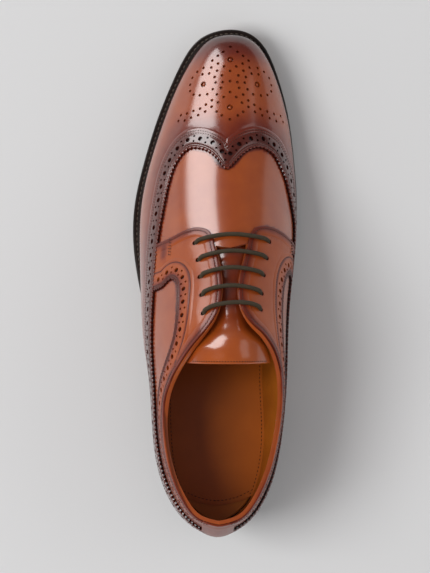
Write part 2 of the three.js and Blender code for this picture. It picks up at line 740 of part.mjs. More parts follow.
function tongue() {
  const rows = even(TONGUE_BACK, TONGUE_FRONT, 13);
  const shares = even(-1, 1, 10);
  const points = [];
  const under = [];
  rows.forEach((row) => {
    shares.forEach((s) => {
      const along = tonguePoint(row + 0.02, s).sub(tonguePoint(row - 0.02, s));
      const over = tonguePoint(row, clamp(s + 0.02, -1, 1)).sub(tonguePoint(row, clamp(s - 0.02, -1, 1)));
      const normal = along.cross(over).normalize();
      if (normal.z < 0) normal.negate();
      const face = TONGUE_LIFT * smooth(tongueRise(row)) - TONGUE_DEPTH;
      points.push(tonguePoint(row, s).addScaledVector(normal, face));
      under.push(tonguePoint(row, s).addScaledVector(normal, face - TONGUE_THICK));
    });
  });
  const wide = shares.length;
  const count = points.length;
  const faces = [];
  const quad = (a, b, c, d) => faces.push([a, b, c], [a, c, d]);
  for (let i = 1; i < rows.length; i += 1) {
    for (let k = 1; k < wide; k += 1) {
      const a = (i - 1) * wide + k - 1;
      const b = i * wide + k - 1;
      quad(a, b, b + 1, a + 1);
      quad(a + count, a + 1 + count, b + 1 + count, b + count);
    }
  }
  const border = [];
  for (let k = 0; k < wide; k += 1) border.push(k);
  for (let i = 1; i < rows.length; i += 1) border.push(i * wide + wide - 1);
  for (let k = wide - 2; k >= 0; k -= 1) border.push((rows.length - 1) * wide + k);
  for (let i = rows.length - 2; i > 0; i -= 1) border.push(i * wide);
  border.forEach((a, k) => {
    const b = border[(k + 1) % border.length];
    quad(a, b, b + count, a + count);
  });
  return closedBody([...points, ...under], faces);
}

// The lace: straight bars on top, joined by short runs under the facings, and one hidden tail
const LACE_OVER = GAP + OVERLAY_THICK + LACE_CLEARANCE + LACE_DIAMETER / 2;
const LACE_UNDER = -(UPPER_WALL + LACE_CLEARANCE + LACE_DIAMETER / 2);
const LACE_BOW = 0.25;                 // rows by which a bar's middle runs ahead of its ends
const TAIL_BELOW = 0.055;              // the tail's height share below the eyelets

function laceAt(side, row, h, depth) {
  const t = side === 'outer' ? row : -row;
  return lastPoint(t, h).addScaledVector(lastNormal(t, h), depth);
}

function eyeletAt(side, index, depth, below = 0) {
  const eyelet = holes[index];
  return laceAt(side, eyelet[`${side}Row`], eyelet[`${side}Height`] - below, depth);
}

function barPath(index) {
  const path = [];
  const eyelet = holes[index];
  const leg = (side) => [0.12, 0.4, 0.7, 0.97].map((s) => {
    const row = eyelet[`${side}Row`] + LACE_BOW * smooth(s);
    const from = eyelet[`${side}Height`];
    return laceAt(side, row, from + (1 - from) * s * 0.97, LACE_OVER);
  });
  path.push(eyeletAt('outer', index, 0), eyeletAt('outer', index, LACE_OVER - 0.6));
  path.push(...leg('outer'), ...leg('inner').reverse());
  path.push(eyeletAt('inner', index, LACE_OVER - 0.6), eyeletAt('inner', index, 0));
  return path;
}

function runPath(side, from, to, below = 0) {
  const shares = [0, 0.33, 0.67, 1];
  return shares.map((s) => {
    const row = (e) => holes[e][`${side}Row`];
    const height = (e) => holes[e][`${side}Height`] - below;
    const mix = (f) => f(from) + s * (f(to) - f(from));
    return laceAt(side, mix(row), mix(height), LACE_UNDER);
  });
}

function lace() {
  const top = holes.length - 1;
  const path = [...runPath('outer', top, 0, TAIL_BELOW), eyeletAt('outer', 0, LACE_UNDER)];
  for (let i = 0; i <= top; i += 1) {
    const outerFirst = i % 2 === 0;
    const bar = barPath(i);
    path.push(...(outerFirst ? bar : bar.reverse()));
    if (i < top) path.push(...runPath(outerFirst ? 'inner' : 'outer', i, i + 1));
  }
  path.push(eyeletAt(top % 2 === 0 ? 'inner' : 'outer', top, LACE_UNDER));
  return cord(path, LACE_DIAMETER / 2, 8);
}

// The shoe

const leather = (color, roughness) => new THREE.MeshStandardMaterial({ color, roughness, metalness: 0 });

const pieces = [
  ['outsole', outsole(), leather(0x2e1d14, 0.55)],
  ['welt', welt(), leather(0x2a1b14, 0.6)],
  ['heel_stack', heelStack(), leather(0x2b1a12, 0.5)],
  ['heel_tip', heelTip(), leather(0x171514, 0.8)],
  ['insole', insole(), leather(0xa8692f, 0.7)],
  ['upper', upper(), leather(0xa85a2c, 0.35)],
  ['wing_tip', wingTip(), leather(0x9a4f27, 0.35)],
  ['facing_lateral', facing('outer'), leather(0xa1552a, 0.35)],
  ['facing_medial', facing('inner'), leather(0xa1552a, 0.35)],
  ['backstay', backstay(), leather(0x964c26, 0.35)],
  ['tongue', tongue(), leather(0xa85c30, 0.4)],
  ['lace', lace(), leather(0x3a3630, 0.85)],
];

// The middle of the whole shoe, in plan, goes to the origin
const box = new THREE.Box3();
pieces.forEach(([, geometry]) => {
  geometry.computeBoundingBox();
  box.union(geometry.boundingBox);
});
const middle = box.getCenter(new THREE.Vector3());

const group = new THREE.Group();
group.name = 'long_wing_brogue';
pieces.forEach(([name, geometry, material]) => {
  geometry.translate(-middle.x, -middle.y, -box.min.z);
  geometry.computeVertexNormals();
  const mesh = new THREE.Mesh(geometry, material);
  mesh.name = name;
  group.add(mesh);
});

export default group;
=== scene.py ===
"""The looks of a long-wing brogue shoe, left foot: leather, punching, stitching, sole and lace.

Lengths in the maths of the last are millimetres, in the last's own coordinates: +X to the toe,
+Y to the outer side, +Z up. Meshes are in metres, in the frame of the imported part.
"""
import functools
import math

import bmesh
import bpy
import numpy as np
from mathutils import Matrix, Vector
from mathutils.bvhtree import BVHTree


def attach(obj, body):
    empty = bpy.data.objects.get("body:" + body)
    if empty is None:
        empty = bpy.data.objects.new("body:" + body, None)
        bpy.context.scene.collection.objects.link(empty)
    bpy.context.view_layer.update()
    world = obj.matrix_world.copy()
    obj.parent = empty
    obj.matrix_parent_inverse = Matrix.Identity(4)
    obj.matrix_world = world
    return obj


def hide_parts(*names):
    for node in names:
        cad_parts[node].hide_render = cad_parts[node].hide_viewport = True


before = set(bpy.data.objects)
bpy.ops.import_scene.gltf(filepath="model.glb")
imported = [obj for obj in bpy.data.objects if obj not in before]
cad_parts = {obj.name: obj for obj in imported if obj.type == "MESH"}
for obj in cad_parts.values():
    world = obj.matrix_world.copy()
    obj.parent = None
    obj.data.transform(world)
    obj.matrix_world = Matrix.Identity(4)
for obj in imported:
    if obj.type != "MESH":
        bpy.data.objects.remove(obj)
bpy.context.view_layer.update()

bl_info = {
    "name": "Long-wing brogue shoe",
    "version": (1, 0, 0),
    "blender": (4, 5, 0),
    "location": "View3D > Sidebar > Brogue",
    "description": "Dresses the frame of a brogue shoe in leather, punching, stitching, sole and lace",
    "category": "Add Mesh",
}

MM = 0.001
MIDDLE = np.array([151.317, 4.696, 0.0])     # the last's point that lies at the frame's origin
INSIDE = Vector((0, 0, 0.03))                # a point inside the shoe, in the frame
SIDES = ("outer", "inner")
FACINGS = (("outer", "facing_lateral"), ("inner", "facing_medial"))

# The last, as in the part's source: shares of its length, ball width and instep height
LENGTH, BALL_WIDTH, INSTEP_HEIGHT = 302.0, 98.0, 91.0
HEEL_RISE, TOE_SPRING, HEEL_SLOPE = 21.5, 10.5, 0.03
HEEL_BREAST, FLAT_BACK, FLAT_FRONT = 0.258, 0.622, 0.709
OUTSOLE_THICK, WELT_THICK, INSOLE_THICK, HEEL_TIP_THICK, GAP = 5.0, 3.2, 4.2, 5.7, 0.3
WALL = 2.2
FEATHER = OUTSOLE_THICK + WELT_THICK + 2 * GAP
ROWS, ROUND = 15, 30                         # rib rows from heel to toe, and all the way round
OPEN_ROWS, THROAT_ROW = 8, 8.42              # the ribs stay apart behind the first, the throat ends at the second
THROAT_CUTS = (8.41, 8.43)                   # columns on both sides of the throat's end
COLUMNS, BANDS = 480, 60                     # of a grid over the whole last
CLOSED_REACH, CLOSED_DIP = 0.52, 0.05        # of ribs that also meet over the instep

RIB_COLUMNS = ("at", "outer", "inner", "crest_at", "crest_mid", "open", "crest_z",
               "bulge_out", "bulge_in", "rise_out", "rise_in", "reach", "dip")
RIBS = np.array([
    (0.018, 0.022, 0.022, 0.043, -0.010, 0.000, 1.120, 0.102, 0.102, 0.30, 0.30, 0.25, 0.286),
    (0.031, 0.122, -0.078, 0.051, -0.012, 0.097, 1.120, 0.097, 0.097, 0.30, 0.30, 0.25, 0.286),
    (0.063, 0.230, -0.179, 0.079, -0.015, 0.184, 1.120, 0.097, 0.097, 0.30, 0.30, 0.25, 0.286),
    (0.123, 0.306, -0.250, 0.136, -0.020, 0.265, 1.120, 0.122, 0.112, 0.30, 0.32, 0.25, 0.286),
    (0.205, 0.337, -0.276, 0.212, -0.033, 0.316, 1.120, 0.143, 0.143, 0.32, 0.38, 0.30, 0.286),
    (0.298, 0.347, -0.265, 0.291, -0.063, 0.311, 1.154, 0.173, 0.214, 0.34, 0.44, 0.35, 0.264),
    (0.391, 0.390, -0.276, 0.364, -0.094, 0.214, 1.220, 0.204, 0.255, 0.34, 0.50, 0.45, 0.154),
    (0.480, 0.434, -0.321, 0.440, -0.080, 0.066, 1.170, 0.163, 0.240, 0.34, 0.52, 0.52, 0.055),
    (0.563, 0.459, -0.378, 0.526, -0.073, 0.000, 1.000, 0.133, 0.184, 0.34, 0.52, 0.55, 0.041),
    (0.649, 0.462, -0.413, 0.616, -0.061, 0.000, 0.830, 0.102, 0.117, 0.34, 0.44, 0.56, 0.032),
    (0.735, 0.411, -0.408, 0.709, -0.043, 0.000, 0.670, 0.082, 0.077, 0.36, 0.38, 0.57, 0.024),
    (0.815, 0.337, -0.378, 0.788, -0.037, 0.000, 0.560, 0.060, 0.062, 0.38, 0.38, 0.58, 0.020),
    (0.884, 0.257, -0.324, 0.846, -0.040, 0.000, 0.495, 0.038, 0.050, 0.40, 0.40, 0.60, 0.029),
    (0.940, 0.163, -0.255, 0.887, -0.047, 0.000, 0.451, 0.030, 0.038, 0.42, 0.42, 0.62, 0.035),
    (0.974, 0.066, -0.166, 0.914, -0.051, 0.000, 0.423, 0.026, 0.030, 0.42, 0.42, 0.63, 0.040),
    (0.983, -0.051, -0.051, 0.924, -0.053, 0.000, 0.412, 0.026, 0.026, 0.42, 0.42, 0.63, 0.042),
])
# Edge of the welt and outsole at the same rows: at, outer, inner
EDGES = np.array([
    (0.012, 0.022, 0.022), (0.026, 0.133, -0.088), (0.060, 0.248, -0.197), (0.123, 0.327, -0.270),
    (0.205, 0.357, -0.298), (0.298, 0.372, -0.296), (0.391, 0.437, -0.315), (0.480, 0.503, -0.372),
    (0.563, 0.547, -0.434), (0.652, 0.543, -0.456), (0.742, 0.481, -0.439), (0.825, 0.400, -0.406),
    (0.897, 0.308, -0.350), (0.957, 0.209, -0.276), (0.990, 0.094, -0.179), (1.000, -0.054, -0.054),
])

# Lines on the last, each point a row and the share of the rib's height from its foot
TOPLINE = {
    "outer": [(0.0, 0.84), (0.7, 0.832), (1.4, 0.815), (2.3, 0.787), (3.0, 0.762), (3.7, 0.733), (4.3, 0.728),
              (4.9, 0.765), (5.3, 0.815), (5.7, 0.865), (6.1, 0.905), (6.4, 0.940), (6.75, 0.972), (7.1, 0.980),
              (7.5, 0.962), (7.84, 0.938), (8.16, 0.915), (8.45, 0.895)],
    "inner": [(0.0, 0.84), (0.7, 0.832), (1.4, 0.815), (2.3, 0.787), (3.0, 0.762), (3.7, 0.738), (4.4, 0.733),
              (5.0, 0.750), (5.6, 0.765), (6.0, 0.790), (6.4, 0.855), (6.7, 0.945), (6.95, 0.975), (7.2, 0.972),
              (7.5, 0.940), (7.8, 0.897), (8.04, 0.860), (8.36, 0.828)],
}
FACING_FRONT = {
    "outer": [(8.20, 0.440), (8.28, 0.510), (8.44, 0.610), (8.56, 0.670), (8.68, 0.740), (8.73, 0.790),
              (8.735, 0.830), (8.70, 0.865), (8.60, 0.885)],
    "inner": [(8.16, 0.230), (8.30, 0.340), (8.40, 0.410), (8.52, 0.490), (8.67, 0.610), (8.72, 0.690),
              (8.72, 0.750), (8.65, 0.790), (8.54, 0.812)],
}
FACING_LOW = {
    "outer": [(7.12, 0.430), (7.19, 0.490), (7.28, 0.540), (7.40, 0.575), (7.48, 0.605), (7.43, 0.635),
              (7.28, 0.650), (7.04, 0.660), (6.84, 0.670), (6.60, 0.683), (6.30, 0.692), (6.00, 0.683),
              (5.60, 0.645), (5.24, 0.600), (4.80, 0.570), (4.28, 0.575), (3.68, 0.600), (2.30, 0.625),
              (1.60, 0.635), (0.60, 0.645)],
    "inner": [(7.34, 0.225), (7.38, 0.262), (7.47, 0.300), (7.52, 0.350), (7.46, 0.390), (7.30, 0.420),
              (7.10, 0.438), (6.88, 0.452), (6.60, 0.475), (6.30, 0.500), (6.00, 0.530), (5.60, 0.558),
              (5.00, 0.580), (4.40, 0.580), (3.70, 0.600), (2.30, 0.625), (1.60, 0.635), (0.60, 0.645)],
}
WING_EDGE = {
    "outer": [(0.60, 0.447), (1.2, 0.475), (1.8, 0.505), (2.9, 0.530), (3.5, 0.528), (4.3, 0.508), (4.9, 0.482),
              (6.1, 0.463), (6.7, 0.455), (7.4, 0.460), (8.0, 0.475), (8.5, 0.500), (9.0, 0.528), (9.5, 0.548),
              (9.92, 0.575), (10.12, 0.605), (10.28, 0.642), (10.40, 0.690), (10.44, 0.770), (10.40, 0.850),
              (10.27, 0.920), (10.13, 0.962), (10.04, 1.0)],
    "inner": [(0.60, 0.447), (1.2, 0.475), (1.8, 0.498), (2.9, 0.498), (3.5, 0.470), (4.5, 0.420), (5.5, 0.350),
              (6.5, 0.285), (7.4, 0.252), (8.0, 0.250), (8.6, 0.272), (8.92, 0.315), (9.28, 0.362), (9.64, 0.405),
              (9.96, 0.468), (10.20, 0.530), (10.34, 0.600), (10.44, 0.690), (10.40, 0.800), (10.25, 0.890),
              (10.12, 0.950)],
}
EYELETS = {  # row, height
    "outer": [(8.38, 0.770), (8.02, 0.790), (7.66, 0.810), (7.28, 0.840), (6.90, 0.885)],
    "inner": [(8.36, 0.630), (8.01, 0.650), (7.65, 0.680), (7.26, 0.715), (6.92, 0.760)],
}
EYELET_HOLE = 3.0
TONGUE = [  # row, outer height, inner height, lift
    (5.75, 0.64, 0.62, 1.0), (6.4, 0.68, 0.64, 0.6), (7.0, 0.70, 0.64, 0.1), (7.6, 0.70, 0.62, 0.0),
    (8.4, 0.70, 0.60, 0.0), (9.0, 0.72, 0.62, 0.0),
]
TONGUE_DEPTH, TONGUE_LIFT, TONGUE_THICK = 6.3, 8.2, 2.4
TONGUE_FRONT_X, TONGUE_END_X, TONGUE_MIDDLE_Y = 186.0, 103.7, -8.0
TONGUE_CLEAR, TONGUE_BELOW = 1.3, 0.9        # gaps to the wall: of its sides in the collar, and of its middle
TONGUE_FREE_ROW, TONGUE_FREE_SPAN = 6.9, 0.8             # behind this row its sides lie inside the collar
TONGUE_DIP, TONGUE_DIP_ROW, TONGUE_DIP_SPAN = 2.6, 8.35, 0.6     # its middle lies lower behind this row
TONGUE_HALF, TONGUE_ROUND, TONGUE_CORNER = 27.0, 3, 4.0      # half width, and lengths of the rounded end and corners
TONGUE_CREASES = ((0.35, 21, 2.5, 2.2), (0.25, 12, -3, 3.0))     # depth, distance from the end, slant, width

BAND = 12.0                  # width of a punched band, from its gimped edge to its outer stitches
BAND_MIDDLE = 6.35           # distance of its large holes from the gimped edge
SEAM_STEP = 0.42             # between the points of a seam
TOOTH_POINTS = 6             # points of one tooth of the gimped edge
TOOTH_REACH = 1.35           # the teeth fade out at this distance from the edge
PAIR_HALF = 1.6              # from the middle of a band to each small hole of a pair
TIP_ROW, TIP_BEYOND = 10.04, 10.62           # rows of the wing's tip and of its band's far point
TIP_SPAN = 15.0              # the band's far line runs straight to that point over this length

# Medallion: places from its middle, in millimetres across (left is the outer side) and towards the toe
MEDALLION_RINGS = [(0.0, 25.4), (15.3, 10.8), (0.0, -3.4)]
MEDALLION_DOTS = [
    (0.0, 33.1), (4.0, 30.1), (7.1, 27.8), (10.2, 25.0), (6.9, 23.1), (3.4, 21.3), (15.3, 20.7), (10.8, 20.8),
    (18.9, 18.6), (7.4, 18.8), (0.0, 18.6), (15.9, 16.9), (12.0, 17.2), (21.8, 15.1), (8.8, 15.0), (4.6, 15.9),
    (23.1, 10.9), (8.2, 11.6), (4.1, 11.8), (0.0, 12.4), (23.1, 7.1), (9.8, 7.6), (5.1, 8.4), (21.0, 4.8),
    (17.4, 4.2), (13.0, 4.7), (7.4, 4.4), (0.0, 5.8), (3.5, 2.8), (10.3, 0.9), (6.7, -0.5), (13.7, -1.6),
    (10.4, -3.0), (17.1, -3.9), (21.0, -5.2), (14.1, -5.8), (7.5, -6.0), (24.8, -6.5), (28.5, -7.4),
    (18.2, -7.8), (4.5, -8.3), (22.4, -9.2), (26.1, -10.7), (29.9, -10.8), (0.0, -10.7),
]
MEDALLION_X, MEDALLION_Y = 256.6, -5.5       # place of its middle on the last
RING_HOLE, RING_MIDDLE, RING_SINK = 3.7, 2.0, 0.55


# The last's surface

def ring_curve(outer, inner):
    """A closed smooth curve through one value for each rib, heel to toe on the outer side and back."""
    values = np.array([outer[i] if i <= ROWS else inner[ROUND - i] for i in range(ROUND)], float)
    weights = values.copy()                  # those of a cubic spline that passes through the values
    for _ in range(40):
        weights = (6 * values - np.roll(weights, 1) - np.roll(weights, -1)) / 4

    def at(t):
        t = np.mod(t, ROUND)
        i = np.floor(t).astype(int)
        f = t - i
        parts = ((1 - f) ** 3 / 6, (3 * f ** 3 - 6 * f * f + 4) / 6,
                 (-3 * f ** 3 + 3 * f * f + 3 * f + 1) / 6, f ** 3 / 6)
        return sum(part * weights[(i + k - 1) % ROUND] for k, part in enumerate(parts))

    return at


def rib_curve(name, scale, inner=None):
    """The smooth curve of one column of the rib table."""
    first = RIBS[:, RIB_COLUMNS.index(name)] * scale
    second = RIBS[:, RIB_COLUMNS.index(inner or name)] * scale
    return ring_curve(first, second)


LAST = {
    "x": rib_curve("at", LENGTH), "y": rib_curve("outer", BALL_WIDTH, "inner"),
    "crest_x": rib_curve("crest_at", LENGTH), "crest_y": rib_curve("crest_mid", BALL_WIDTH),
    "crest_z": rib_curve("crest_z", INSTEP_HEIGHT), "open": rib_curve("open", BALL_WIDTH),
    "bulge": rib_curve("bulge_out", BALL_WIDTH, "bulge_in"), "rise": rib_curve("rise_out", 1, "rise_in"),
    "reach": rib_curve("reach", 1), "dip": rib_curve("dip", INSTEP_HEIGHT),
}
RIM = {"x": ring_curve(EDGES[:, 0] * LENGTH, EDGES[:, 0] * LENGTH),
       "y": ring_curve(EDGES[:, 1] * BALL_WIDTH, EDGES[:, 2] * BALL_WIDTH)}


def smooth(s):
    """Eases a share between 0 and 1."""
    s = np.clip(s, 0, 1)
    return s * s * (3 - 2 * s)


def row_of(t):
    """The rib row of a place round the shoe."""
    t = np.mod(t, ROUND)
    return np.where(t <= ROWS, t, ROUND - t)


def bottom(x):
    """Underside of the outsole: flat at the ball, up the arch to the heel, and up to the toe."""
    back, breast, front = FLAT_BACK * LENGTH, HEEL_BREAST * LENGTH, FLAT_FRONT * LENGTH
    arch = HEEL_RISE * smooth((back - x) / (back - breast))
    heel = np.maximum(0, breast - x) * HEEL_SLOPE
    toe = TOE_SPRING * np.clip((x - front) / (LENGTH - front), 0, 2) ** 2
    return arch + heel + toe


def outward(curve, t):
    """Direction straight out of a closed outline, in plan."""
    step = 0.002
    dx = curve["x"](t + step) - curve["x"](t - step)
    dy = curve["y"](t + step) - curve["y"](t - step)
    size = np.hypot(dx, dy)
    return -dy / size, dx / size


def bezier(a, b, c, d, h):
    """Cubic curve from a to d."""
    g = 1 - h
    return a * g ** 3 + 3 * b * h * g * g + 3 * c * h * h * g + d * h ** 3


def last_point(t, h, closed=False):
    """Outer face of the upper. With closed set the ribs also meet over the instep, under the tongue."""
    t, h = np.broadcast_arrays(np.asarray(t, float), np.asarray(h, float))
    row = row_of(t)
    foot_x, foot_y = LAST["x"](t), LAST["y"](t)
    foot_z = bottom(foot_x) + FEATHER
    half = 0.0 if closed else np.where(row < OPEN_ROWS, np.maximum(0, LAST["open"](t)), 0)
    side = np.where(np.mod(t, ROUND) <= ROWS, 1.0, -1.0)
    top_x, top_y, top_z = LAST["crest_x"](t), LAST["crest_y"](t) + side * half, LAST["crest_z"](t)
    out_x, out_y = outward(LAST, t)
    reach, dip = LAST["reach"](t), LAST["dip"](t)
    if closed:
        reach, dip = np.maximum(reach, CLOSED_REACH), np.minimum(dip, CLOSED_DIP * INSTEP_HEIGHT)
    bulge = LAST["bulge"](t)
    x = bezier(foot_x, foot_x + out_x * bulge, top_x + (foot_x - top_x) * reach, top_x, h)
    y = bezier(foot_y, foot_y + out_y * bulge, top_y + (foot_y - top_y) * reach, top_y, h)
    z = bezier(foot_z, foot_z + LAST["rise"](t) * (top_z - foot_z), top_z - dip, top_z, h)
    return np.stack((x, y, z), axis=-1)


def unit(v):
    """Vectors scaled to length 1."""
    return v / np.maximum(np.linalg.norm(v, axis=-1, keepdims=True), 1e-9)


def slopes(t, h, closed=False):
    """How the face moves along the shoe and up the rib."""
    step_t, step_h = 0.01, 0.003
    along = (last_point(t + step_t, h, closed) - last_point(t - step_t, h, closed)) / (2 * step_t)
    up = (last_point(t, h + step_h, closed) - last_point(t, h - step_h, closed)) / (2 * step_h)
    return along, up


def last_normal(t, h, closed=False):
    """Outward direction of the last's face."""
    along, up = slopes(t, h, closed)
    return unit(np.cross(up, along))


def look_up_tree():
    """A tree of the last's face, to find the nearest place on it."""
    t = np.arange(COLUMNS) * ROUND / COLUMNS
    h = np.linspace(0, 1, BANDS + 1)
    points = last_point(t[:, None], h[None, :]).reshape(-1, 3)
    wide = BANDS + 1
    quads = [(i * wide + j, ((i + 1) % COLUMNS) * wide + j, ((i + 1) % COLUMNS) * wide + j + 1,
              i * wide + j + 1) for i in range(COLUMNS) for j in range(BANDS)]
    return BVHTree.FromPolygons([Vector(p) for p in points], quads)


TREE = look_up_tree()


def locate(points):
    """The place and height on the last nearest to each point."""
    flat = np.asarray(points, float).reshape(-1, 3)
    found = np.array([TREE.find_nearest(Vector(p))[2] for p in flat])
    t = (found // BANDS + 0.5) * ROUND / COLUMNS
    h = (found % BANDS + 0.5) / BANDS
    for _ in range(4):                       # steps from the nearest quad's middle to the foot of the normal
        along, up = slopes(t, h)
        rest = flat - last_point(t, h)
        a, b, c = (along * along).sum(1), (along * up).sum(1), (up * up).sum(1)
        d, e = (along * rest).sum(1), (up * rest).sum(1)
        det = np.maximum(a * c - b * b, 1e-6)
        t = t + np.clip((c * d - b * e) / det, -0.1, 0.1)
        h = np.clip(h + np.clip((a * e - b * d) / det, -0.04, 0.04), 0, 1)
    shape = np.asarray(points).shape[:-1]
    return np.mod(t, ROUND).reshape(shape), h.reshape(shape)


def on_last(points, lift):
    """Points brought to the last's face and lifted off it by lift."""
    t, h = locate(points)
    return last_point(t, h) + last_normal(t, h) * np.asarray(lift)[..., None]


# Lines on the last

def side_t(side, rows):
    """Places round the shoe of rows on one side."""
    rows = np.asarray(rows, float)
    return rows if side == "outer" else ROUND - rows


FINE_STEP = 0.25             # between a line's points while it is softened


def run_along(line):
    """How far along a line each of its points lies."""
    return np.concatenate(([0], np.cumsum(np.linalg.norm(np.diff(line, axis=0), axis=1))))


def read_off(want, run, line):
    """Points of a line where its run has the values wanted."""
    return np.stack([np.interp(want, run, line[:, c]) for c in range(3)], axis=-1)


def through(points, step, soften=2.5):
    """An even line of points through given points, slightly softened."""
    points = np.asarray(points, float)
    gaps = np.sqrt(np.linalg.norm(np.diff(points, axis=0), axis=1))
    knots = np.concatenate(([0], np.cumsum(gaps)))
    tangents = np.empty_like(points)
    slope = np.diff(points, axis=0) / np.diff(knots)[:, None]
    tangents[0], tangents[-1] = slope[0], slope[-1]
    before, after = np.diff(knots)[:-1, None], np.diff(knots)[1:, None]
    tangents[1:-1] = (slope[:-1] * after + slope[1:] * before) / (before + after)
    dense = []
    for k in range(len(points) - 1):
        u = np.linspace(0, 1, 40, endpoint=False)[:, None]
        w = knots[k + 1] - knots[k]
        dense.append((2 * u ** 3 - 3 * u ** 2 + 1) * points[k] + (u ** 3 - 2 * u ** 2 + u) * w * tangents[k]
                     + (3 * u ** 2 - 2 * u ** 3) * points[k + 1] + (u ** 3 - u ** 2) * w * tangents[k + 1])
    line = even(np.vstack(dense + [points[-1:]]), FINE_STEP)
    reach = int(soften / FINE_STEP)
    if reach > 1 and len(line) > 4 * reach:
        padded = np.vstack([2 * line[0] - line[reach:0:-1], line, 2 * line[-1] - line[-2:-reach - 2:-1]])
        kernel = np.hanning(2 * reach + 3)[1:-1]
        kernel /= kernel.sum()
        line = np.stack([np.convolve(padded[:, c], kernel, mode="valid") for c in range(3)], axis=1)
    return even(line, step)


def even(line, step):
    """The same line with points an even step apart."""
    run = run_along(line)
    count = max(3, int(round(run[-1] / step)) + 1)
    return read_off(np.linspace(0, run[-1], count), run, line)


class Seam:
    """A line on the last with, at each of its points, the directions out of the face and sideways.

    Where a band lies along it, beyond is the line moved sideways by the band's width.
    """
    beyond = None

    def __init__(self, points, side_sign, step=SEAM_STEP, soften=2.5):
        line = through(points, step, soften)
        self.t, self.h = locate(line)
        self.at = last_point(self.t, self.h)
        self.out = last_normal(self.t, self.h)
        self.along = unit(np.gradient(self.at, axis=0))
        self.side = unit(np.cross(self.out, self.along)) * side_sign

    def beside(self, distance):
        """The line moved sideways over the last's face."""
        steps = 4
        here, side = self.at, self.side
        for _ in range(steps):
            t, h = locate(here + side * distance / steps)
            there = last_point(t, h)
            if distance > 0:
                way, out = there - here, last_normal(t, h)
                side = unit(way - (way * out).sum(1, keepdims=True) * out)
            here = there
        return here

    def across(self, distance):
        """A line along the band at a distance from its edge."""
        return self.at + (self.beyond - self.at) * (distance / BAND)


def table_points(table, side):
    """Points on the last from a table of rows and heights."""
    rows = np.array(table)
    return last_point(side_t(side, rows[:, 0]), rows[:, 1])


def topline(t, margin=0.0):
    """Height share of the top edge at places round the shoe."""
    t = np.mod(t, ROUND)
    row = row_of(t)
    heights = {}
    for side in SIDES:
        rows = np.array(TOPLINE[side])
        grid = np.linspace(-0.6, 9, 481)     # rows at which it is smoothed
        level = np.interp(np.abs(grid), rows[:, 0], rows[:, 1])
        kernel = np.hanning(21)
        kernel /= kernel.sum()
        level = np.convolve(np.pad(level, 10, mode="edge"), kernel, mode="valid")
        heights[side] = np.interp(row, grid, level)
    return np.where(t <= ROWS, heights["outer"], heights["inner"]) + margin


# Meshes

def settings():
    """The sizes and colours set in the panel."""
    return bpy.context.scene.brogue


def place(points):
    """Points of the last, in metres in the part's frame."""
    return (np.asarray(points, float) - MIDDLE) * MM


def mapped_grid(points, close_across=False):
    """A bmesh grid laid over a table of points: points[i, j]."""
    spots = place(points)
    if close_across:
        spots = np.concatenate((spots, spots[:, :1]), axis=1)
    long, wide = spots.shape[:2]
    bm = bmesh.new()
    bmesh.ops.create_grid(bm, x_segments=long - 1, y_segments=wide - 1, size=0.5)
    spot = bm.verts.layers.int.new("spot")
    for v in bm.verts:
        i, j = round((v.co.x + 0.5) * (long - 1)), round((v.co.y + 0.5) * (wide - 1))
        v.co = spots[i, j]
        v[spot] = i * wide + j
    return bm


def weld(bm, distance=1e-6):
    """Merges doubles and drops what has no area."""
    bmesh.ops.remove_doubles(bm, verts=bm.verts, dist=distance)
    bmesh.ops.dissolve_degenerate(bm, edges=bm.edges, dist=distance / 2)


def close(bm):
    """Caps the open ends and turns all faces out."""
    ends = [e for e in bm.edges if e.is_boundary]
    if ends:
        bmesh.ops.holes_fill(bm, edges=ends, sides=0)
    bmesh.ops.recalc_face_normals(bm, faces=bm.faces)


def face_out(bm):
    """Turns the faces of an open sheet away from the inside of the shoe."""
    bmesh.ops.recalc_face_normals(bm, faces=bm.faces)
    if sum((f.calc_center_median() - INSIDE).dot(f.normal) for f in bm.faces) < 0:
        bmesh.ops.reverse_faces(bm, faces=bm.faces)


def new_object(name, bm, *materials, sharp=40):
    """A shaded object from a bmesh."""
    for face in bm.faces:
        face.smooth = True
    mesh = bpy.data.meshes.new(name)
    bm.to_mesh(mesh)
    bm.free()
    mesh.set_sharp_from_angle(angle=math.radians(sharp))
    obj = bpy.data.objects.new(name, mesh)
    bpy.context.scene.collection.objects.link(obj)
    for material in materials:
        mesh.materials.append(material)
    return obj


def apply_modifiers(obj, sharp=40):
    """Keeps the shape that the modifiers make, and drops them."""
    bpy.context.view_layer.update()
    graph = bpy.context.evaluated_depsgraph_get()
    mesh = bpy.data.meshes.new_from_object(obj.evaluated_get(graph), depsgraph=graph)
    obj.modifiers.clear()
    old = obj.data
    obj.data = mesh
    bpy.data.meshes.remove(old)
    mesh.name = obj.name
    mesh.set_sharp_from_angle(angle=math.radians(sharp))
    return obj


def closed_piece(name, points, *materials, sharp=40, distance=1e-6):
    """A closed object from a table of points, each row of which runs round it."""
    bm = mapped_grid(points, close_across=True)
    weld(bm, distance)
    close(bm)
    return new_object(name, bm, *materials, sharp=sharp)


def thicken(obj, thickness, inner=0):
    """Gives a sheet its wall, inwards, with the material numbered inner on its inside."""
    wall = obj.modifiers.new("Wall", "SOLIDIFY")
    wall.thickness = thickness * MM
    wall.offset = -1
    wall.use_even_offset = False
    wall.material_offset = inner
    return apply_modifiers(obj)


def turned(normal):
    """A turn that brings +Z onto a direction."""
    return Vector(normal).to_track_quat("Z", "Y").to_matrix().to_4x4()


def holes_at(t, h, diameter, sides):
    """Round holes at places on the last: each has its point, the direction out, a diameter and a side count."""
    return [(p, n, diameter, sides) for p, n in zip(last_point(t, h), last_normal(t, h))]


